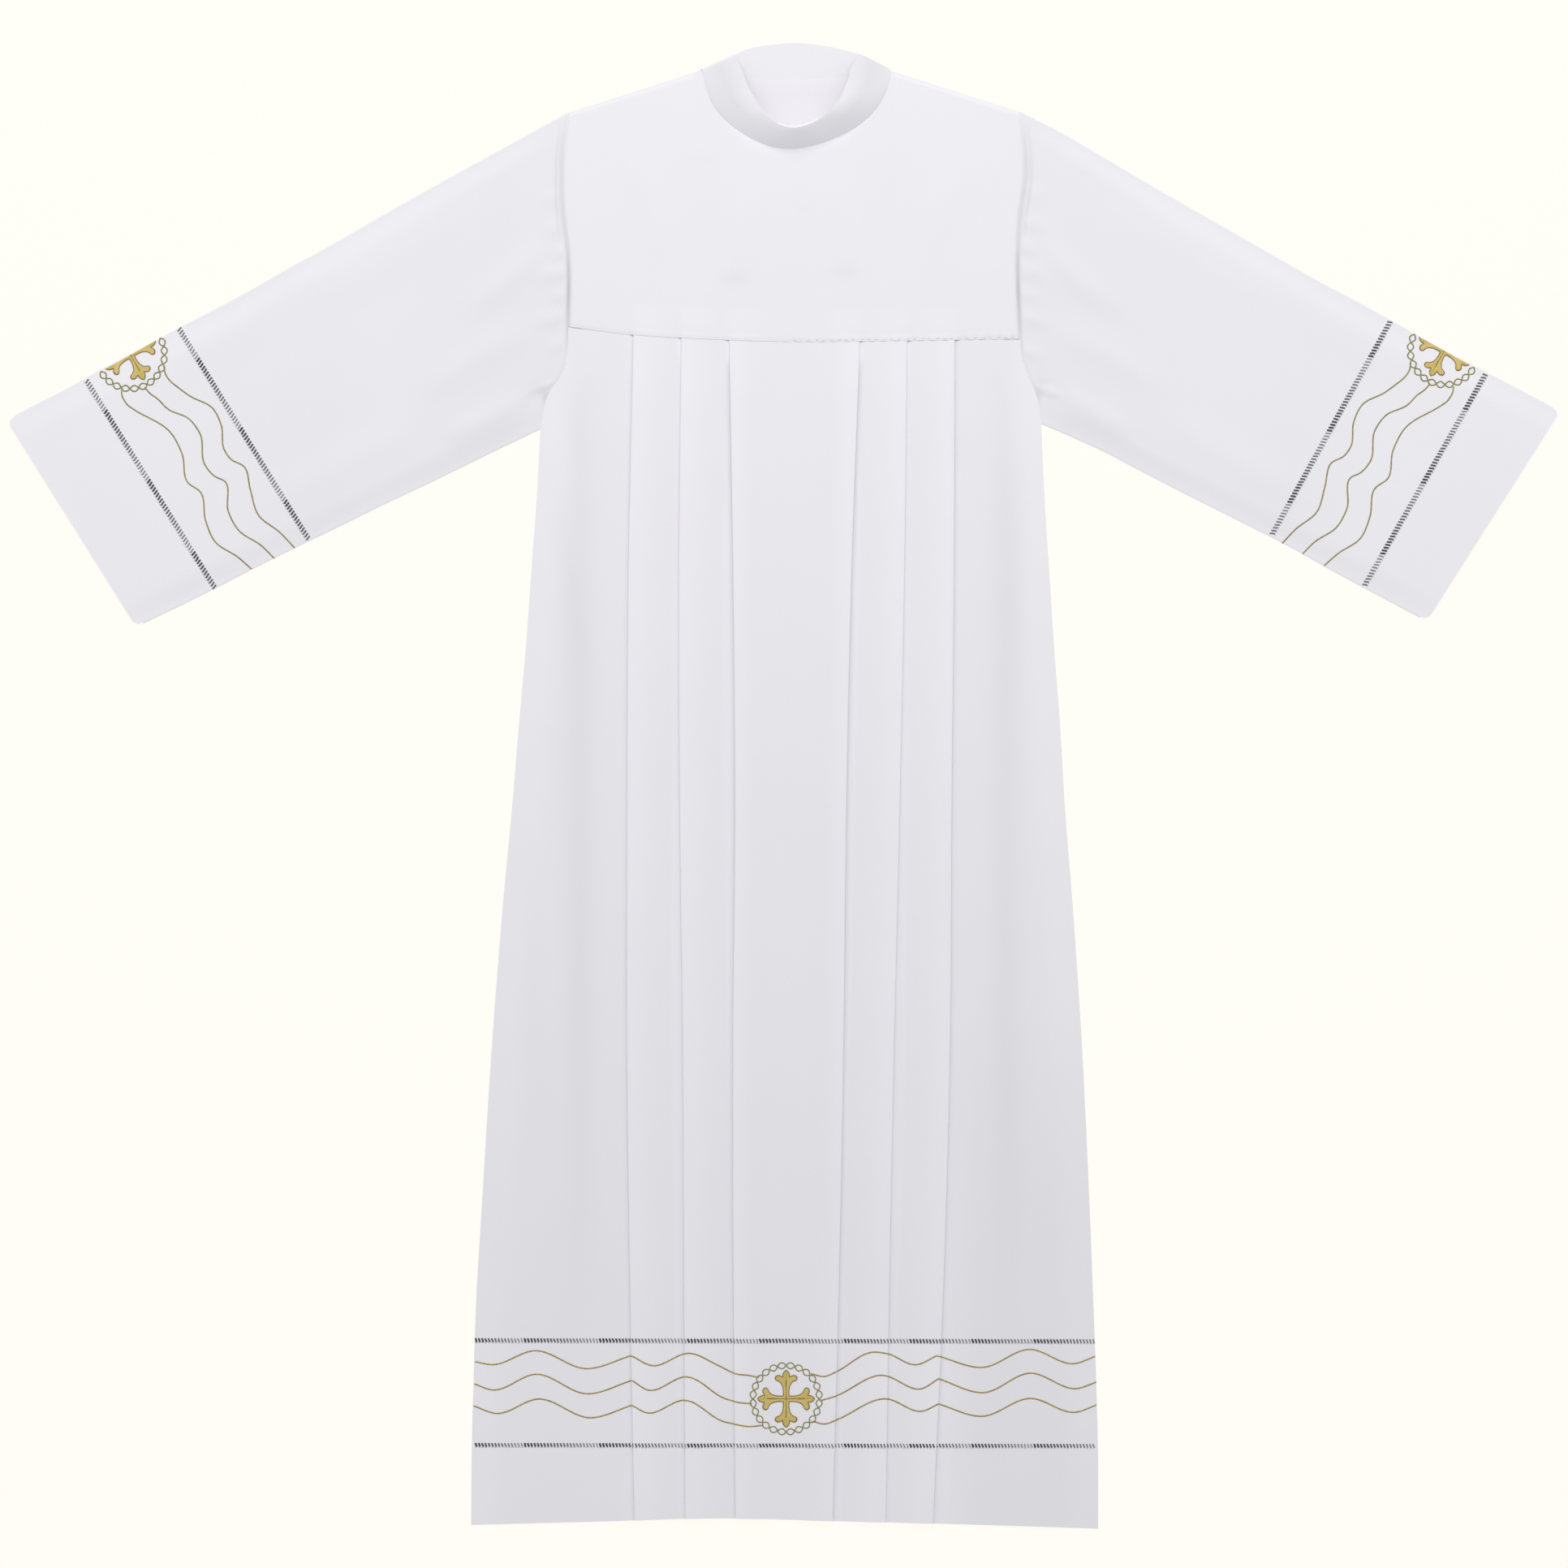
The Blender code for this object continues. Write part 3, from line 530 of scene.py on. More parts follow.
neckEnds = {"left": (-82.4, 722.4), "right": (110.0, 721.9)}
yokeSeamOverlap = 1.2
yoke = {
    "columns": 241,
    "rows": 111,
    "rise": 1.05,
    "seamDrop": 0.45,
    "seamWaves": (0.35, 12.4),
    "seamWavesUpTo": 9.0,
    "seamWavesFrom": (-30.0, 20.0),
    "besideArmhole": 0.7,
    "besideArmholeReach": (0.0, 5.0, 6.0, 26.0),
    "neckDrop": 1.0,
    "length": 215.0,
    "shade": 1.4,
    "paintedLightBelowNeck": -4.4,
    "belowNeckDown": (4.0, 16.0),
    "belowNeckReach": (-60.0, -35.0, 60.0, 90.0),
}
yokeCreases = (
    (-30.0, 640.0, -62.0, 480.0, 5.0, 1.0, 12.0), (60.0, 642.0, 78.0, 480.0, -5.0, 1.1, 12.0),
    (-160.0, 660.0, -120.0, 500.0, 8.0, 0.9, 16.0), (190.0, 655.0, 150.0, 500.0, -8.0, 0.9, 16.0),
)
yokeDimples = (
    (-48.4, 512.5, 16.0, 8.0, 3.2), (62.3, 519.0, 18.0, 7.0, 3.0), (21.0, 582.0, 9.0, 6.0, 2.0),
    (-84.0, 633.0, 22.0, 8.0, 1.2), (150.0, 560.0, 26.0, 20.0, 0.8),
)


def neckline():
    rows = smoothed([row[:3] + (row[4],) for row in bandFront], 240)
    seam = rows[:, :2]
    along = np.gradient(seam, axis=0)
    along /= np.linalg.norm(along, axis=1)[:, None]
    outward = np.stack((along[:, 1], -along[:, 0]), -1)
    return np.concatenate(([neckEnds["left"]], (seam - 1.2 * outward)[4:-4], [neckEnds["right"]]))


def shoulder(side):
    ends = (armholeYoke[side][0], neckEnds[side])
    line = np.array(ends if side == "left" else ends[::-1], float)
    return np.stack([np.linspace(line[0, k], line[1, k], 80) for k in (0, 1)], -1)


def pleatStack(x):
    # How high the stitched pleats stand at the yoke seam.
    total = np.zeros_like(x)
    folds = [(f, 1) for f in leftFolds[0][1:]] + [(f, -1) for f in rightFolds[0][1:]]
    for fold, way in folds:
        inward = (x - fold) * way
        total = np.maximum(total, within(-6.0, 2.0, pleats["sinkFrom"], pleats["sinkTo"], inward))
    return 4 * (pleats["radius"] - pleats["pressed"]) * total


# height on the armhole, how far it runs into the sleeve, its rise and its half width
armholePuckers = {
    "left": (
        (596.0, 26.0, 0.7, 6.0), (566.0, 34.0, 1.0, 6.5), (541.0, 22.0, 1.3, 5.0), (520.0, 40.0, 1.5, 6.5),
        (497.0, 24.0, 1.3, 5.0), (476.0, 44.0, 1.2, 6.0), (447.0, 26.0, 1.0, 6.0), (405.0, 30.0, 1.4, 5.0),
    ),
    "right": (
        (602.0, 26.0, 0.7, 6.0), (570.0, 34.0, 1.0, 6.5), (545.0, 24.0, 1.4, 5.5), (522.0, 38.0, 1.5, 6.5),
        (498.0, 24.0, 1.2, 5.0), (474.0, 42.0, 1.2, 6.0), (440.0, 26.0, 1.0, 6.0), (402.0, 30.0, 1.4, 5.0),
    ),
}
# low is the seam's height. The band is the pressed allowance beside it in the sleeve. The shades are painted
# shade in the seam's groove, over the band and along its edge. The last list gives heights on the armhole
# and how strong the painted shade of the groove is there.
armholeSeam = {
    "low": 2.35,
    "width": 3.4,
    "band": 6.8,
    "bandRoll": 0.45,
    "bandGroove": 0.25,
    "bandShade": 3.0,
    "bandShadeLine": 0.4,
    "bandReach": (545.0, 585.0, 655.0, 680.0),
    "shade": 17.0,
    "shadeWidth": 2.2,
    "seamShadeAlong": ((400.0, 0.0), (430.0, 0.1), (466.0, 1.3), (498.0, 1.9), (528.0, 1.5), (545.0, 0.9),
               (564.0, 0.75), (630.0, 0.65), (655.0, 0.25), (690.0, 0.1)),
}


def armholeShade(distance, y):
    # Painted shade in the armhole seam's groove.
    heights, strengths = zip(*armholeSeam["seamShadeAlong"])
    seam = armholeSeam["shade"] * bell(distance, armholeSeam["shadeWidth"])
    return np.interp(y, heights, strengths) * seam


def buildYoke():
    u, v = crowded(yoke["columns"], 0.7), crowded(yoke["rows"], 0.6)
    left, right = [joined(smoothed(armholeYoke[side])[::-1]) for side in ("left", "right")]
    top = joined(shoulder("left"), neckline(), shoulder("right"))
    flat = patch(joined(smoothed(yokeSeam)), top, left, right, u, v)
    x, y = flat[..., 0], flat[..., 1]
    up = y - heightOn(yokeSeam, x)
    hole = np.minimum(x - edgeAt("left", y), edgeAt("right", y) - x)
    stack = pleatStack(x) * (1 - 0.35 * smoothStep(0.0, 8.0, up) - 0.65 * smoothStep(6.0, 34.0, up))
    waveRise, waveLength = yoke["seamWaves"]
    waves = waveRise * np.sin(2 * math.pi * x / waveLength)
    waves = waves * falling(0.0, yoke["seamWavesUpTo"], up) * smoothStep(*yoke["seamWavesFrom"], x)
    z = frontMid + yoke["rise"] - yoke["seamDrop"] * falling(0.0, 4.0, up) + stack + waves
    z = z + creaseHeight(x, y, yokeCreases)
    z = z + yoke["besideArmhole"] * within(*yoke["besideArmholeReach"], hole)
    z = z + falling(0.0, armholeSeam["width"], hole) * (armholeSeam["low"] - z)
    down = (1 - v)[:, None] * yoke["length"]
    z = z - yoke["neckDrop"] * falling(0.0, 5.0, down) * np.where((u < 0.25) | (u > 0.75), 1.0, 0.0)[None]
    y = y - yokeSeamOverlap * (1 - v[:, None]) ** 8
    # Painted shade in the armhole groove, over the whole yoke and in its dimples; painted light just below
    # the neckline, where the collar casts its shadow.
    shade = armholeShade(hole, y) + yoke["shade"] + dimpleShade(x, y, yokeDimples)
    below = falling(*yoke["belowNeckDown"], down) * within(*yoke["belowNeckReach"], x)
    shade = shade + yoke["paintedLightBelowNeck"] * below
    return sheetPiece("frontYokeCloth", np.stack((x, y, z), -1), clothMaterials["yoke"], 0.9, shade)


back = {"columns": 121, "rows": 201, "neckRise": 0.98, "neckOverlap": 1.6, "flatEdge": (6.0, 40.0)}
backCreases = (
    (-210.0, 330.0, -228.0, -180.0, 9.0, 0.42, 18.0), (-150.0, -60.0, -172.0, -690.0, -8.0, 0.45, 20.0),
    (-70.0, 420.0, -52.0, -120.0, 10.0, 0.42, 22.0), (-40.0, -180.0, -60.0, -720.0, 6.0, 0.42, 18.0),
    (52.0, 300.0, 40.0, -330.0, -9.0, 0.45, 20.0), (96.0, -140.0, 110.0, -715.0, 8.0, 0.42, 18.0),
    (180.0, 380.0, 205.0, -60.0, -8.0, 0.42, 18.0), (226.0, -120.0, 238.0, -690.0, 7.0, 0.45, 20.0),
    (-150.0, 640.0, -105.0, 490.0, 6.0, 1.0, 14.0), (170.0, 636.0, 130.0, 488.0, -6.0, 1.0, 14.0),
    (20.0, 690.0, 10.0, 500.0, 4.0, 0.9, 18.0),
)


def buildBack():
    u, v = np.linspace(0.0, 1.0, back["columns"]), np.linspace(0.0, 1.0, back["rows"])

    def side(name):
        y = np.linspace(-746.0, 679.0, 400)
        return joined(np.stack((edgeAt(name, y), y), -1))

    neck = smoothed([neckEnds["left"]] + [row[:2] for row in bandBack[1:-1]] + [neckEnds["right"]], 100)
    top = joined(shoulder("left"), neck, shoulder("right"))
    flat = patch(joined(smoothed(hemLine)), top, side("left"), side("right"), u, v)
    x, y = flat[..., 0], flat[..., 1]
    fromNeck = (1 - v)[:, None] * (y[-1] - y[0])[None]
    nearNeck = within(-84.0, -70.0, 98.0, 110.0, x)
    fromSide = np.minimum(x - edgeAt("left", y), edgeAt("right", y) - x)
    z = backMid + back["neckRise"] * falling(4.0, 22.0, fromNeck) * nearNeck
    z = z + creaseHeight(x, y, backCreases) * smoothStep(*back["flatEdge"], fromSide)
    y = y + back["neckOverlap"] * falling(0.0, 2.0, fromNeck) * nearNeck
    return sheetPiece("backCloth", np.stack((x, y, z), -1), clothMaterials["back"], 0.8)


sleeveTop = {
    "left": ((-217.3, 679.0), (-306.0, 630.0), (-381.7, 588.1), (-453.6, 546.6), (-492.3, 525.5),
             (-530.5, 503.6), (-567.1, 483.5), (-604.4, 464.4), (-639.0, 445.6), (-658.3, 435.0),
             (-682.1, 423.0), (-718.9, 402.3), (-756.5, 383.0), (-783.4, 368.3)),
    "right": ((241.1, 679.8), (280.6, 659.7), (331.9, 629.5), (401.8, 588.8), (473.5, 547.8),
              (548.2, 505.4), (586.7, 485.1), (624.7, 463.8), (667.3, 440.0), (699.0, 423.3),
              (742.3, 400.6), (785.6, 377.6)),
}
sleeveUnder = {
    "left": ((-244.4, 360.8), (-296.4, 335.7), (-363.8, 302.9), (-405.3, 283.4), (-446.5, 263.0),
             (-489.4, 242.2), (-532.2, 221.0), (-573.8, 199.5), (-615.8, 178.8), (-653.2, 160.9)),
    "right": ((261.6, 366.0), (293.2, 352.4), (324.5, 338.1), (360.0, 319.6), (395.4, 301.2),
              (473.7, 261.8), (512.5, 242.0), (550.6, 220.5), (622.5, 181.8), (651.2, 166.6)),
}
sleeves = {
    "rows": 151,
    "across": 97,
    "under": 37,
    "length": 600.0,
    "edgeRadius": 0.75,
    "rise": 2.6,
    "riseWithin": 26.0,
    "riseAtArmhole": 0.30,
    "riseAtCuff": 0.55,
    "cornerRadius": 8.0,
    "mid": 0.62,
    "shade": 1.6,
    "shadeNearArmhole": 2.6,
    "nearArmholeTo": (20.0, 260.0),
    "lightTowardsCuff": -3.0,
    "towardsCuffFrom": (300.0, 600.0),
}
sleeveCreases = {
    "left": (
        (-232.0, 560.0, -330.0, 470.0, 6.0, 2.0, 14.0),
        (-238.0, 470.0, -380.0, 380.0, -6.0, 1.8, 16.0),
        (-300.0, 600.0, -520.0, 470.0, 8.0, 1.2, 22.0),
        (-330.0, 390.0, -560.0, 270.0, 7.0, 1.5, 20.0),
        (-250.0, 400.0, -350.0, 345.0, 3.0, 1.8, 12.0),
        (-470.0, 500.0, -690.0, 370.0, -8.0, 1.1, 24.0),
    ),
    "right": (
        (255.0, 560.0, 350.0, 470.0, -6.0, 2.0, 14.0),
        (258.0, 470.0, 400.0, 385.0, 6.0, 1.8, 16.0),
        (320.0, 600.0, 540.0, 470.0, -8.0, 1.2, 22.0),
        (350.0, 395.0, 570.0, 275.0, -7.0, 1.5, 20.0),
        (270.0, 405.0, 365.0, 350.0, -3.0, 1.8, 12.0),
        (480.0, 500.0, 690.0, 380.0, 8.0, 1.1, 24.0),
    ),
}
sleeveDimples = {
    "left": ((-238.5, 391.5, 5.0, 7.0, 14.0), (-246.0, 404.0, 8.0, 5.0, 6.0)),
    "right": ((257.5, 394.0, 4.0, 6.0, 14.0), (262.0, 406.0, 6.0, 5.0, 6.0)),
}
underCreases = {
    "left": ((-275.0, 470.0, -430.0, 350.0, 7.0, 1.0, 15.0), (-350.0, 540.0, -560.0, 420.0, -8.0, 0.9, 18.0),
             (-400.0, 330.0, -600.0, 245.0, 6.0, 0.9, 16.0)),
    "right": ((300.0, 480.0, 450.0, 355.0, -7.0, 1.0, 15.0), (370.0, 545.0, 580.0, 430.0, 8.0, 0.9, 18.0),
              (420.0, 335.0, 610.0, 250.0, -6.0, 0.9, 16.0)),
}


def buildSleeve(side):
    corner, r = sleeves["cornerRadius"], sleeves["edgeRadius"]
    holePath = joined(smoothed(armholeYoke[side]), smoothed(armholeSkirt[side]))
    ends = [np.array(sleeveTop[side][-1]), np.array(sleeveUnder[side][-1])]
    wide = np.linalg.norm(ends[1] - ends[0])
    axis = np.array(sleeveTop[side][0]) - ends[0]
    inwards = axis / np.linalg.norm(axis)

    def cuff(share):
        edge = np.minimum(share, 1 - share) * wide
        cut = corner - np.sqrt(np.maximum(corner ** 2 - np.maximum(corner - edge, 0.0) ** 2, 0.0))
        return ends[0] + share[:, None] * (ends[1] - ends[0]) + cut[:, None] * inwards

    def trimmed(points):
        curve = smoothed(points)
        share = 1 - corner / lengthsAlong(curve)[-1]
        path = joined(curve)
        return lambda s: path(np.asarray(s) * share)

    t, tUnder = crowded(sleeves["across"], 0.55), crowded(sleeves["under"], 0.55)[::-1]
    w = crowded(sleeves["rows"], 0.72)
    along = [trimmed(sleeveTop[side]), trimmed(sleeveUnder[side])]
    across = along[1](w) - along[0](w)
    width = np.linalg.norm(across, axis=1)[:, None]
    across = across / width
    lengths = sleeves["length"] * w[:, None]

    def layer(shares):
        flat = patch(holePath, cuff, along[0], along[1], shares, w)
        return flat[..., 0], flat[..., 1]

    x, y = layer(t)
    fromEdge = np.minimum(t, 1 - t)[None]
    inner = smoothStep(0.0, 0.12, fromEdge)
    full = smoothStep(0.0, sleeves["riseWithin"], fromEdge * width)
    full = full * (1 - (1 - sleeves["riseAtArmhole"]) * falling(5.0, 60.0, lengths))
    full = full * (1 - (1 - sleeves["riseAtCuff"]) * smoothStep(520.0, 600.0, lengths))
    upper = sleeves["mid"] + 2 * r + sleeves["rise"] * full
    upper = upper + creaseHeight(x, y, sleeveCreases[side]) * inner
    apart = np.abs(x - edgeAt(side, y))
    for level, reach, rise, halfWidth in armholePuckers[side]:
        fade = within(1.0, 7.0, 0.3 * reach, reach, apart)
        upper = upper + rise * fade * bell(y - level + 0.25 * apart, halfWidth) * inner
    band, banded = armholeSeam["band"], within(*armholeSeam["bandReach"], y)
    roll = armholeSeam["bandRoll"] * bell(apart - 0.6 * band, 2.2)
    upper = upper + (roll - armholeSeam["bandGroove"] * bell(apart - band - 1.0, 1.8)) * banded
    upper = upper + falling(0.0, armholeSeam["width"], apart) * (armholeSeam["low"] - upper) * inner
    # Painted shade in the armhole groove, over the pressed band and along its edge, more near the armhole,
    # with painted light towards the cuff and painted shade in the dimples.
    line = armholeSeam["bandShadeLine"] * armholeShade(1.5 * (apart - band), y)
    shade = armholeShade(apart, y) + line * banded
    shade = shade + armholeSeam["bandShade"] * banded * falling(band - 1.0, band + 0.5, apart)
    shade = shade + sleeves["shade"] + sleeves["shadeNearArmhole"] * falling(*sleeves["nearArmholeTo"], lengths)
    shade = shade + sleeves["lightTowardsCuff"] * smoothStep(*sleeves["towardsCuffFrom"], lengths)
    shade = shade + dimpleShade(x, y, sleeveDimples[side])
    xUnder, yUnder = layer(tUnder)
    away = smoothStep(0.05, 0.25, np.minimum(tUnder, 1 - tUnder))[None] * smoothStep(0.0, 0.15, w)[:, None]
    lower = sleeves["mid"] + creaseHeight(xUnder, yUnder, underCreases[side]) * away

    def bend(share, way):
        # The fold at one edge, from the upper layer to the lower one.
        angles = np.radians(np.linspace(90, -90, 7)[1:-1])
        sx, sy = layer(np.array([share]))
        out = way * r * (1 - np.cos(angles))[None]
        bz = sleeves["mid"] + r + r * np.sin(angles)[None]
        return np.stack(np.broadcast_arrays(sx + across[:, :1] * out, sy + across[:, 1:] * out, bz), -1)

    upperPoints = np.stack((x, y, upper), -1)
    lowerPoints = np.stack((xUnder, yUnder, lower), -1)
    ring = np.concatenate((upperPoints, bend(1.0, 1.0), lowerPoints, bend(0.0, -1.0)[:, ::-1],
                           upperPoints[:, :1]), axis=1)
    shade = np.concatenate((shade, np.zeros((len(w), ring.shape[1] - x.shape[1]))), axis=1)
    if side == "left":
        ring, shade = ring[::-1], shade[::-1]
    material = clothMaterials["sleeve" + side.capitalize()]
    return sheetPiece(side + "SleeveCloth", ring, material, 0.9, shade, ring=True)


# Levels of painted shade: of the back half, added to the front half, then most at the ends and fading
# inwards.
collarLook = {
    "rise": 0.8,
    "bow": 1.2,
    "foldRadius": 1.15,
    "back": 9.0,
    "front": -1.0,
    "seam": (14.0, 0.10, 0.32),
    "middle": (20.0, 0.17, 0.38),
    "free": (17.0, 0.28, 0.44),
}


def buildCollar():
    back, front = smoothed(bandBack, 90)[::-1], smoothed(bandFront, 150)
    q = np.linspace(0.0, 1.0, 17)
    radius = collarLook["foldRadius"]

    def station(row, z, rise=0.0, bow=0.0, roll=1.0):
        seam, free = np.array(row[:2]), np.array(row[2:4])
        flat = seam + q[:, None] * (free - seam)
        height = z + rise * (1 - (1 - q) ** roll) + bow * 4 * q * (1 - q)
        return np.concatenate((flat, height[:, None]), axis=1)

    rows = [station(row, 1.0) for row in back[:-1]]
    for angle in np.radians(np.linspace(-90, 90, 7)):
        out = radius * math.cos(angle)
        rows.append(station(back[-1] - np.array((out, 0, out, 0)), 1.0 + radius * (1 + math.sin(angle))))
    shades = [np.full(len(q), collarLook["back"]) for row in rows]
    for number, row in enumerate(front[1:]):
        share = number / (len(front) - 2)
        end = min(share, 1 - share)
        rows.append(station(row[:4], 3.3, collarLook["rise"] * row[4], collarLook["bow"],
                            1.1 + 0.9 * falling(0.12, 0.40, end)))
        levels = [most * falling(near, far, end) for most, near, far in
                  (collarLook["seam"], collarLook["middle"], collarLook["free"])]
        shades.append(np.interp(q, (0.1, 0.5, 0.9), levels) + collarLook["front"])
    points = np.array(rows).transpose(1, 0, 2)
    return sheetPiece("collarBand", points, clothMaterials["collar"], 1.9, np.array(shades).T)


skirtCloth = buildSkirt()
yokeCloth = buildYoke()
backCloth = buildBack()
sleeveCloth = {side: buildSleeve(side) for side in ("left", "right")}
collarBand = buildCollar()
print("cloth laid")


def seatTree(obj):
    return BVHTree.FromObject(obj, bpy.context.evaluated_depsgraph_get())


def seat(tree, x, y, under=False):
    # The place and the normal on a cloth above, or under, a point of the tables.
    place = np.array((x, y)) + tableShift
    start = Vector((place[0] * mm, place[1] * mm, -0.02 if under else 0.1))
    hit, normal = tree.ray_cast(start, Vector((0, 0, 1 if under else -1)))[:2]
    return hit, normal


def template(kind):
    # A thread's stitch, one unit long on X: a spindle with soft ends or a bar with square ones.
    mesh = bmesh.new()
    turn = Matrix.Rotation(math.radians(90), 4, "Y")
    if kind == "grain":
        bmesh.ops.create_uvsphere(mesh, u_segments=6, v_segments=5, radius=0.5, matrix=turn)
        for vert in mesh.verts:
            if abs(vert.co.x) < 0.49:
                vert.co.x *= 1.12
    else:
        bmesh.ops.create_cone(mesh, cap_ends=True, segments=6, radius1=0.5, radius2=0.5, depth=1.0,
                              matrix=turn)
        rims = [edge for edge in mesh.edges if abs(edge.verts[0].co.x - edge.verts[1].co.x) < 0.1]
        bmesh.ops.bevel(mesh, geom=rims, affect="EDGES", offset=0.12, segments=1, profile=0.5, material=-1)
    verts = np.array([v.co for v in mesh.verts])
    faces = [[v.index for v in f.verts] for f in mesh.faces]
    mesh.free()
    return verts, faces


pressedHeight = 0.28  # of a stitch that lies under the cloth


def stitchMatrix(place, normal, along, size, lift):
    # A stitch laid on the cloth: size is its length, width and height.
    normal = Vector(normal).normalized()
    length, width, height = size
    if normal.z < -0.5:
        height, lift = min(height, pressedHeight), 0.0
    along = Vector(along)
    along = (along - normal * along.dot(normal)).normalized()
    turn = Matrix((along, normal.cross(along), normal)).transposed().to_4x4()
    scale = Matrix.Diagonal((length * mm, width * mm, height * mm, 1.0))
    return Matrix.Translation(Vector(place) + normal * lift * mm) @ turn @ scale


def copies(name, kind, laid, material):
    # Every stitch of one piece in one mesh; each stitch's tone goes to its points.
    verts, faces = template(kind)
    spots, cells, tones = [], [], []
    for number, (matrix, tone) in enumerate(laid):
        m = np.array(matrix)
        spots.append(verts @ m[:3, :3].T + m[:3, 3])
        cells.extend([[i + number * len(verts) for i in face] for face in faces])
        tones.append(np.full(len(verts), tone))
    data = bpy.data.meshes.new(name)
    data.from_pydata(np.concatenate(spots), [], cells)
    data.attributes.new("tone", "FLOAT", "POINT").data.foreach_set("value", np.concatenate(tones))
    return linkObject(name, data, material)


def spaced(points, step):
    # Points at even steps along a path through the given ones.
    curve = smoothed(points, 60 * len(points))
    lengths = lengthsAlong(curve)
    at = np.linspace(0.0, lengths[-1], max(2, round(lengths[-1] / step) + 1))
    return np.stack([np.interp(at, lengths, curve[:, k]) for k in (0, 1)], -1)


def turned(points, angle):
    c, s = math.cos(angle), math.sin(angle)
    return np.asarray(points, float) @ np.array(((c, s), (-s, c)))


def threadLine(tree, path, look, under=False):
    # Stem stitches along a path on the cloth.
    laid = []
    for first, last in zip(path[:-1], path[1:]):
        middle, along = (first + last) / 2, last - first
        hit, normal = seat(tree, *middle, under)
        if hit is None:
            continue
        swing = math.radians(look["slant"]) + rng.normal(0, 0.05)
        leaning = turned([along], swing)[0]
        size = (np.linalg.norm(along) * look["overlap"], look["width"], look["height"])
        laid.append((stitchMatrix(hit, normal, (*leaning, 0.0), size, look["lift"]), rng.uniform(0, 1)))
    return laid


def toneMaterial(name, dark, light, roughness, sheen):
    shade = Shade(name)
    tone = shade.node("Attribute", {"attribute_name": "tone"}, 2)
    place = shade.node("TexCoord", output=3)
    speck = shade.node("TexNoise", {}, 0, Vector=place, Scale=900.0, Detail=1.0)
    colour = shade.mix(tone * 0.8 + speck * 0.2, dark, light)
    normal = shade.node("Bump", {}, 0, Height=speck, Strength=0.3, Distance=0.0001)
    return shade.finish(Base_Color=colour, Roughness=roughness, Normal=normal,
                        Sheen_Weight=sheen, Specular_IOR_Level=0.4)


rng = np.random.default_rng(7)
trees = {"skirt": seatTree(skirtCloth), "left": seatTree(sleeveCloth["left"]),
         "right": seatTree(sleeveCloth["right"]), "back": seatTree(backCloth), "yoke": seatTree(yokeCloth)}

threadLooks = {  # dark and light colour, roughness and sheen
    "gold": ((0.29, 0.205, 0.045, 1.0), (0.46, 0.35, 0.10, 1.0), 0.45, 0.1),
    "olive": ((0.18, 0.175, 0.035, 1.0), (0.32, 0.30, 0.09, 1.0), 0.45, 0.1),
    "edge": ((0.16, 0.09, 0.03, 1.0), (0.30, 0.19, 0.06, 1.0), 0.45, 0.1),
    "fill": ((0.57, 0.48, 0.105, 1.0), (0.78, 0.59, 0.23, 1.0), 0.4, 0.15),
    "seam": ((0.55, 0.55, 0.58, 1.0), (0.74, 0.74, 0.77, 1.0), 0.7, 0.1),
    "sleeve": ((0.23, 0.195, 0.05, 1.0), (0.37, 0.325, 0.11, 1.0), 0.45, 0.1),
    "pale": ((0.46, 0.46, 0.49, 1.0), (0.72, 0.72, 0.75, 1.0), 0.7, 0.1),
    # The hem thread's near-black is painted shadow: its bars stand for the openwork's holes in shade as well
    # as for its threads.
    "hem": ((0.008, 0.008, 0.01, 1.0), (0.42, 0.42, 0.435, 1.0), 0.6, 0.1),
}
threads = {name: toneMaterial(name + "Thread", *look) for name, look in threadLooks.items()}

# Each line's threads are dark and wide at the start of a section, and fade and thin towards its end.
hemstitch = {
    "pitch": 3.3,
    "hemLines": ((-560.1, 4.1), (-665.8, 3.85)),
    "hemReach": (-311.0, 316.0),
    "sleeveLines": {
        "left": (((-703.0, 409.8), (-573.5, 200.7)), ((-609.6, 462.3), (-478.4, 249.1))),
        "right": (((587.4, 201.5), (710.4, 416.4)), ((494.0, 253.2), (613.8, 468.8))),
    },
    "sleeveHeight": 5.0,
    "slant": 22.0,
    "width": (2.1, 1.4875),
    "hemStarts": (0.0, 50.0, 127.0, 214.0, 288.0, 374.0, 440.0, 503.0, 563.0, 640.0),
    "sleeveStarts": (-48.0, 36.0, 120.0, 204.0, 288.0),
    "hemFade": 0.9,
    "sleeveFade": 0.7,
    "barHeight": 0.5,
    "fringe": 1.3,
    "fringeHeight": 0.2,
}


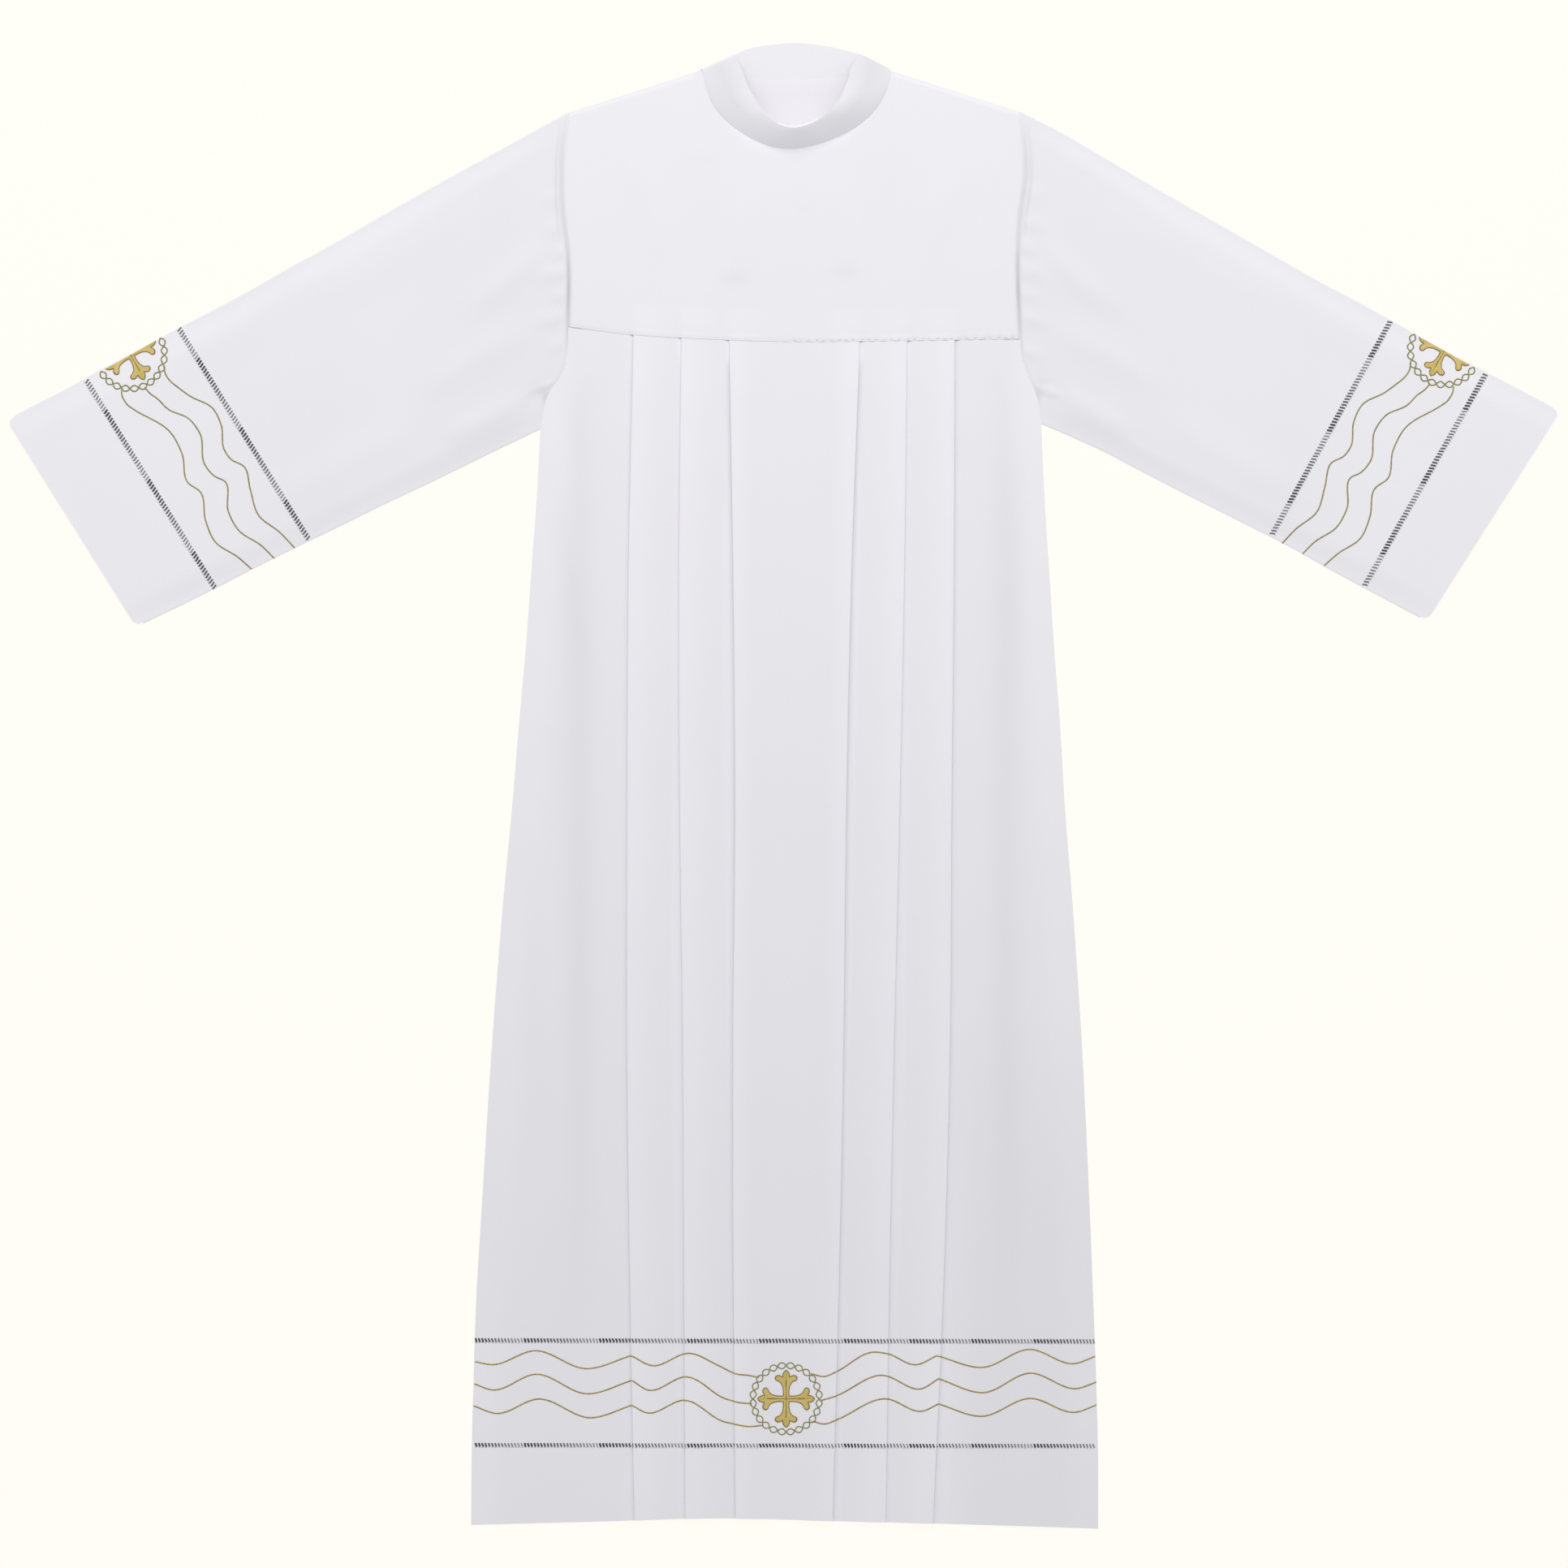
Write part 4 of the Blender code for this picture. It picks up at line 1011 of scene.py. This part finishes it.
def hemstitchLine(tree, first, last, starts, height, fade, under):
    # Slanted bars from one point to another, dark as painted shadow in the openwork's holes, with a pale
    # fringe of thread ends along one side.
    first, last = np.array(first, float), np.array(last, float)
    way = last - first
    length = np.linalg.norm(way)
    way /= length
    upward = np.array((-way[1], way[0]))
    lean = math.radians(hemstitch["slant"])
    bar = upward * math.cos(lean) - way * math.sin(lean)
    wide, thin = hemstitch["width"]
    laid, ends = [], []
    for s in np.arange(hemstitch["pitch"] / 2, length, hemstitch["pitch"]):
        hit, normal = seat(tree, *(first + way * s), under)
        if hit is None:
            continue
        number = np.searchsorted(starts, s, side="right") - 1
        share = (s - starts[number]) / (starts[number + 1] - starts[number])
        size = (height / math.cos(lean), wide + (thin - wide) * share, hemstitch["barHeight"])
        leaning = bar + way * rng.normal(0, 0.06)
        laid.append((stitchMatrix(hit, normal, (*leaning, 0.0), size, 0.08), fade * share ** 1.3))
        hit, normal = seat(tree, *(first + way * s - upward * (height / 2 + 0.5)), under)
        if hit is not None:
            size = (hemstitch["pitch"] * 0.8, hemstitch["fringe"] * rng.uniform(0.5, 1.1),
                    hemstitch["fringeHeight"])
            ends.append((stitchMatrix(hit, normal, (*way, 0.0), size, 0.0), rng.uniform(0.2, 1.0)))
    return laid, ends


waveLook = {"width": 1.5, "height": 0.55, "lift": 0.12, "slant": 9.0, "overlap": 1.55, "step": 1.9}
# The hem's waves in pieces: left of the ring, then right of it.
hemWaves = (
    ((-310, -581.8), (-295.2, -584.7), (-249.3, -570.7), (-197.6, -588.8), (-152.5, -575.6)),
    ((-152.5, -575.6), (-132, -585.5), (-92.7, -573.2), (-64.8, -585.5), (-47.6, -593.7), (-33, -595.6),
     (-24, -597.5)),
    ((-310.8, -604.3), (-294.4, -610.1), (-248.5, -594.5), (-196.8, -614.2), (-151.7, -600.6)),
    ((-151.7, -600.6), (-136.1, -610.1), (-95.9, -597), (-56.6, -619.5), (-44, -622.8), (-31, -624)),
    ((-311.6, -626.5), (-290.3, -633.9), (-246, -619.5), (-193.5, -638.4), (-151.7, -625.7)),
    ((-151.7, -625.7), (-137.8, -633), (-97.6, -620.7), (-58.2, -642.6), (-47.6, -644.9), (-34, -647),
     (-20.5, -646)),
    ((29, -593.8), (42.6, -596.5), (53.3, -592.4), (93.5, -571.9), (104.5, -573.2), (135.3, -584.7),
     (155.8, -575.6)),
    ((155.8, -575.6), (201.7, -587.5), (249.3, -569.4), (296, -583.6), (315.7, -576.5)),
    ((38, -621), (53.3, -616.6), (99.6, -595.3), (141, -608.8), (157.4, -598.9)),
    ((157.4, -598.9), (202.5, -613), (250.1, -593.4), (298.5, -608.8), (316.9, -602.5)),
    ((30.5, -641.8), (42.6, -644.5), (54.1, -640.7), (103.3, -619.1), (141.9, -631.4), (157.4, -624.4)),
    ((157.4, -624.4), (200.9, -636.9), (250.1, -618.9), (297.2, -632.7), (316.9, -625.7)),
)
# The left sleeve's waves, from the ring to the seam below.
sleeveWaves = (
    ((-667.3, 399), (-666.5, 393), (-664, 388.3), (-661, 384.2), (-655.5, 380.3), (-616.6, 355.1),
     (-606, 334.6), (-600.2, 305.9), (-587.9, 296.8), (-582.2, 267.3), (-573.2, 246.8), (-549.4, 230.4),
     (-536.3, 218.9)),
    ((-643.5, 401.8), (-638.5, 396), (-631.4, 391), (-620.7, 380.5), (-598.6, 369.8), (-587.9, 355.1),
     (-583, 323.9), (-573.2, 312.4), (-563.3, 307.5), (-559.2, 276.3), (-549.4, 258.3), (-525.6, 241.9),
     (-513.3, 229.6)),
    ((-624.3, 423), (-622.6, 415), (-618, 408.5), (-610.1, 402), (-598.6, 393.6), (-574.8, 380.5),
     (-566.6, 364.1), (-563.3, 338.7), (-556.8, 329.6), (-543.7, 322.3), (-537.1, 298.5), (-528.9, 273.1),
     (-507.6, 255.8), (-492.8, 240.3)),
)
medallion = {
    "hem": (3.8, -619.2),
    "left": (-658.3, 435.1),
    "right": (668.4, 439.1),
    "foldWays": {"left": (-0.872, -0.490), "right": (0.874, -0.486)},
    "hemRadius": 33.6,
    "sleeveRadius": 34.4,
    "ringHalfWidth": 3.1,
    "links": 24,
    "hemStrand": {**waveLook, "width": 1.22, "height": 0.7, "overlap": 1.7},
    "sleeveStrand": {**waveLook, "width": 1.42, "height": 0.7, "overlap": 1.7},
    "edge": {**waveLook, "width": 1.15, "height": 0.8, "lift": 0.35, "overlap": 1.5},
    "rib": {**waveLook, "width": 0.6, "height": 0.8, "lift": 0.55, "overlap": 1.5},
    "ribTo": 19.0,
    "fillPitch": 0.42,
    "fillSlant": 38.0,
    "fillWidth": 0.62,
    "fillHeight": 0.9,
    "fillTone": 0.72,
    "darkerTips": 0.45,
    "paintedFoldShade": 0.8,
}
# One side of one arm of the cross, from the middle outwards: across the arm, along it
armOutline = ((2.8, 2.8), (2.6, 6.0), (2.9, 10.0), (3.7, 13.2), (5.4, 16.2), (7.8, 18.0), (9.8, 18.7),
              (11.0, 20.3), (10.7, 22.0), (9.2, 23.2), (7.2, 23.5), (5.0, 22.4), (3.4, 21.7), (3.3, 23.6),
              (2.9, 25.6), (1.6, 27.4), (0.0, 28.8))


def scanLines(outline, angle, gap):
    # Parallel lines across an outline, cut to it.
    shape = turned(outline, -angle)
    lines = []
    for level in np.arange(shape[:, 1].min() + gap / 2, shape[:, 1].max(), gap):
        cuts = []
        for a, b in zip(shape, np.roll(shape, -1, axis=0)):
            if (a[1] <= level) != (b[1] <= level):
                cuts.append(a[0] + (level - a[1]) / (b[1] - a[1]) * (b[0] - a[0]))
        cuts.sort()
        for start, end in zip(cuts[::2], cuts[1::2]):
            if end - start > 0.5:
                lines.append(turned(((start, level), (end, level)), angle))
    return lines


def buildMedallion(tree, centre, radius, angle, halves, under=False):
    # The ring of linked strands, and the cross with its satin fill, outline and ribs.
    centre = np.array(centre)
    ringLaid, edgeLaid, fillLaid = [], [], []
    strand = medallion["sleeveStrand" if halves else "hemStrand"]
    inward = turned([(0.0, -1.0)], angle)[0]

    def kept(point):
        return not halves or (point - centre) @ inward > 0.2

    def lay(look, path, into):
        for first, last in zip(path[:-1], path[1:]):
            if kept((first + last) / 2):
                into.extend(threadLine(tree, [first, last], look, under))

    t = np.linspace(0, 2 * math.pi, medallion["links"] * 8 + 1)
    for sign in (1, -1):
        reach = radius + sign * medallion["ringHalfWidth"] * np.sin(t * medallion["links"] / 2)
        lay(strand, centre + turned(np.stack((reach * np.sin(t), reach * np.cos(t)), -1), angle), ringLaid)
    for arm in range(4):
        heading = angle + arm * math.pi / 2
        for mirror in (1, -1):
            side = np.array(armOutline) * (mirror, 1)
            lay(medallion["edge"], centre + turned(spaced(side, 1.2), heading), edgeLaid)
            filled = np.concatenate(([(0.0, 0.0)], side))
            slant = mirror * math.radians(medallion["fillSlant"])
            for line in scanLines(filled, slant, medallion["fillPitch"]):
                outer = np.linalg.norm(line.mean(0))
                line = centre + turned(line, heading)
                middle, way = line.mean(0), line[1] - line[0]
                if not kept(middle):
                    continue
                hit, normal = seat(tree, *middle, under)
                if hit is None:
                    continue
                size = (np.linalg.norm(way), medallion["fillWidth"], medallion["fillHeight"])
                tone = medallion["fillTone"] - medallion["darkerTips"] * smoothStep(16.0, 24.0, outer)
                tone += 0.15 * math.sin(arm * 2.1 + mirror)
                # Painted shade on the fill near the sleeve's folded edge.
                if halves:
                    tone -= medallion["paintedFoldShade"] * falling(0.8, 3.0, (middle - centre) @ inward)
                fillLaid.append((stitchMatrix(hit, normal, (*way, 0.0), size, 0.2),
                                 tone + rng.uniform(-0.15, 0.15)))
        rib = centre + turned(spaced([(0.0, 0.0), (0.0, medallion["ribTo"])], 1.4), heading)
        lay(medallion["rib"], rib, edgeLaid)
    return ringLaid, edgeLaid, fillLaid


yokeStitches = {"from": 12.0, "to": 236.0, "pitch": 7.6, "length": 4.4, "width": 0.9, "height": 0.4,
                "above": 1.4}


def buildYokeStitches():
    # The stitches that show along the right half of the seam below the yoke.
    laid = []
    for x in np.arange(yokeStitches["from"], yokeStitches["to"], yokeStitches["pitch"]):
        x = x + rng.uniform(-1.2, 1.2)
        length = yokeStitches["length"] * rng.uniform(0.6, 1.25)
        level = float(heightOn(yokeSeam, x)) - yokeSeamOverlap + yokeStitches["above"]
        hit, normal = seat(trees["yoke"], x, level)
        if hit is not None:
            size = (length, yokeStitches["width"], yokeStitches["height"])
            laid.append((stitchMatrix(hit, normal, (1.0, 0.0, 0.0), size, 0.0), rng.uniform(0.2, 1.0)))
    copies("yokeSeamStitches", "grain", laid, threads["seam"])


def buildHemOrnament():
    bars, fringe, waves = [], [], []
    for level, height in hemstitch["hemLines"]:
        for tree, under in ((trees["skirt"], False), (trees["back"], True)):
            first, last = hemstitch["hemReach"]
            laid, ends = hemstitchLine(tree, (first, level), (last, level - 1.0), hemstitch["hemStarts"],
                                       height, hemstitch["hemFade"], under)
            bars += laid
            fringe += ends
    for wave in hemWaves:
        waves += threadLine(trees["skirt"], spaced(wave, waveLook["step"]), waveLook)
    ring, edge, fill = buildMedallion(trees["skirt"], medallion["hem"], medallion["hemRadius"], 0.0, False)
    # The drawn-thread bars, dark with the painted shadow of the openwork's holes.
    copies("hemDrawnThreadsAndHoleShadow", "bar", bars, threads["hem"])
    copies("hemThreadEnds", "grain", fringe, threads["pale"])
    copies("hemWaves", "grain", waves, threads["gold"])
    copies("hemRing", "grain", ring, threads["olive"])
    copies("hemCrossEdge", "grain", edge, threads["edge"])
    copies("hemCrossFill", "bar", fill, threads["fill"])


def mirroredWave(path):
    # The right sleeve's wave: the left one's place about its medallion and fold, mirrored.
    way = np.array(medallion["foldWays"]["left"])
    apart = path - np.array(medallion["left"])
    along, across = apart @ way, apart @ np.array((-way[1], way[0]))
    way = np.array(medallion["foldWays"]["right"])
    down = np.array((way[1], -way[0]))
    return np.array(medallion["right"]) + along[:, None] * way + across[:, None] * down


def buildSleeveOrnament(side):
    tree = trees[side]
    along = medallion["foldWays"][side]
    angle = math.atan2(along[1], along[0]) + (math.pi if side == "left" else 0.0)
    bars, fringe, waves, rings, edges, fills = [], [], [], [], [], []
    for under in (False, True):
        for first, last in hemstitch["sleeveLines"][side]:
            laid, ends = hemstitchLine(tree, first, last, hemstitch["sleeveStarts"],
                                       hemstitch["sleeveHeight"], hemstitch["sleeveFade"], under)
            bars += laid
            fringe += ends
        for wave in sleeveWaves:
            path = spaced(wave, waveLook["step"])
            waves += threadLine(tree, path if side == "left" else mirroredWave(path), waveLook, under)
        ring, edge, fill = buildMedallion(tree, medallion[side], medallion["sleeveRadius"], angle,
                                          True, under)
        rings += ring
        edges += edge
        fills += fill
    # The drawn-thread bars, dark with the painted shadow of the openwork's holes.
    copies(side + "SleeveDrawnThreadsAndHoleShadow", "bar", bars, threads["hem"])
    copies(side + "SleeveThreadEnds", "grain", fringe, threads["pale"])
    copies(side + "SleeveWaves", "grain", waves, threads["sleeve"])
    copies(side + "SleeveRing", "grain", rings, threads["olive"])
    copies(side + "SleeveCrossEdge", "grain", edges, threads["edge"])
    copies(side + "SleeveCrossFill", "bar", fills, threads["fill"])


buildYokeStitches()
buildHemOrnament()
for side in ("left", "right"):
    buildSleeveOrnament(side)
print("ornament stitched")

for obj, node in ((skirtCloth, "front_skirt"), (yokeCloth, "front_yoke"), (backCloth, "back"),
                  (sleeveCloth["left"], "sleeve_left"), (sleeveCloth["right"], "sleeve_right"),
                  (collarBand, "collar")):
    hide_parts(node)
    node + "_cloth"

floorLook = {
    "size": 12.0,
    "below": 0.0002,
    "colour": (0.06, 0.059, 0.055, 1.0),
    "glow": (0.988, 0.918, 0.852, 1.0),
}


def buildFloor():
    mesh = bmesh.new()
    bmesh.ops.create_grid(mesh, x_segments=1, y_segments=1, size=floorLook["size"] / 2,
                          matrix=Matrix.Translation((0, 0, -floorLook["below"])))
    material = Shade("floor").finish(Base_Color=floorLook["colour"], Roughness=0.9,
                                     Emission_Color=floorLook["glow"], Emission_Strength=1.0)
    linkObject("floor", meshData("floor", mesh), material, body=None)


buildFloor()

lighting = {
    "ambient": (0.97, 0.98, 1.0),
    "ambientStrength": 0.62,
    "place": (0.0, 2.6, 3.0),
    "aim": (0.0, 0.1, 0.0),
    "size": 2.2,
    "power": 74.0,
    "colour": (1.0, 0.985, 0.97),
}


def addLight():
    lamp = bpy.data.lights.new("headLight", "AREA")
    lamp.shape = "DISK"
    lamp.size = lighting["size"]
    lamp.energy = lighting["power"]
    lamp.color = lighting["colour"]
    obj = bpy.data.objects.new("headLight", lamp)
    bpy.context.scene.collection.objects.link(obj)
    place = Vector(lighting["place"])
    obj.location = place
    obj.rotation_euler = (Vector(lighting["aim"]) - place).to_track_quat("-Z", "Y").to_euler()


addLight()
world = bpy.data.worlds.new("studio")
bpy.context.scene.world = world
world.use_nodes = True
background = world.node_tree.nodes["Background"]
background.inputs["Color"].default_value = (*lighting["ambient"], 1.0)
background.inputs["Strength"].default_value = lighting["ambientStrength"]

view = {"over": (0.00085, 0.00138), "height": 8.0, "lens": 181.8}
camera = bpy.data.cameras.new("camera")
camera.lens = view["lens"]
camera.sensor_width = 36.0
camera.clip_end = 50.0
camera.dof.use_dof = False
cameraObject = bpy.data.objects.new("camera", camera)
bpy.context.scene.collection.objects.link(cameraObject)
cameraObject.location = (*view["over"], view["height"])
bpy.context.scene.camera = cameraObject
bpy.context.scene.view_settings.view_transform = "Standard"

print("scene set")
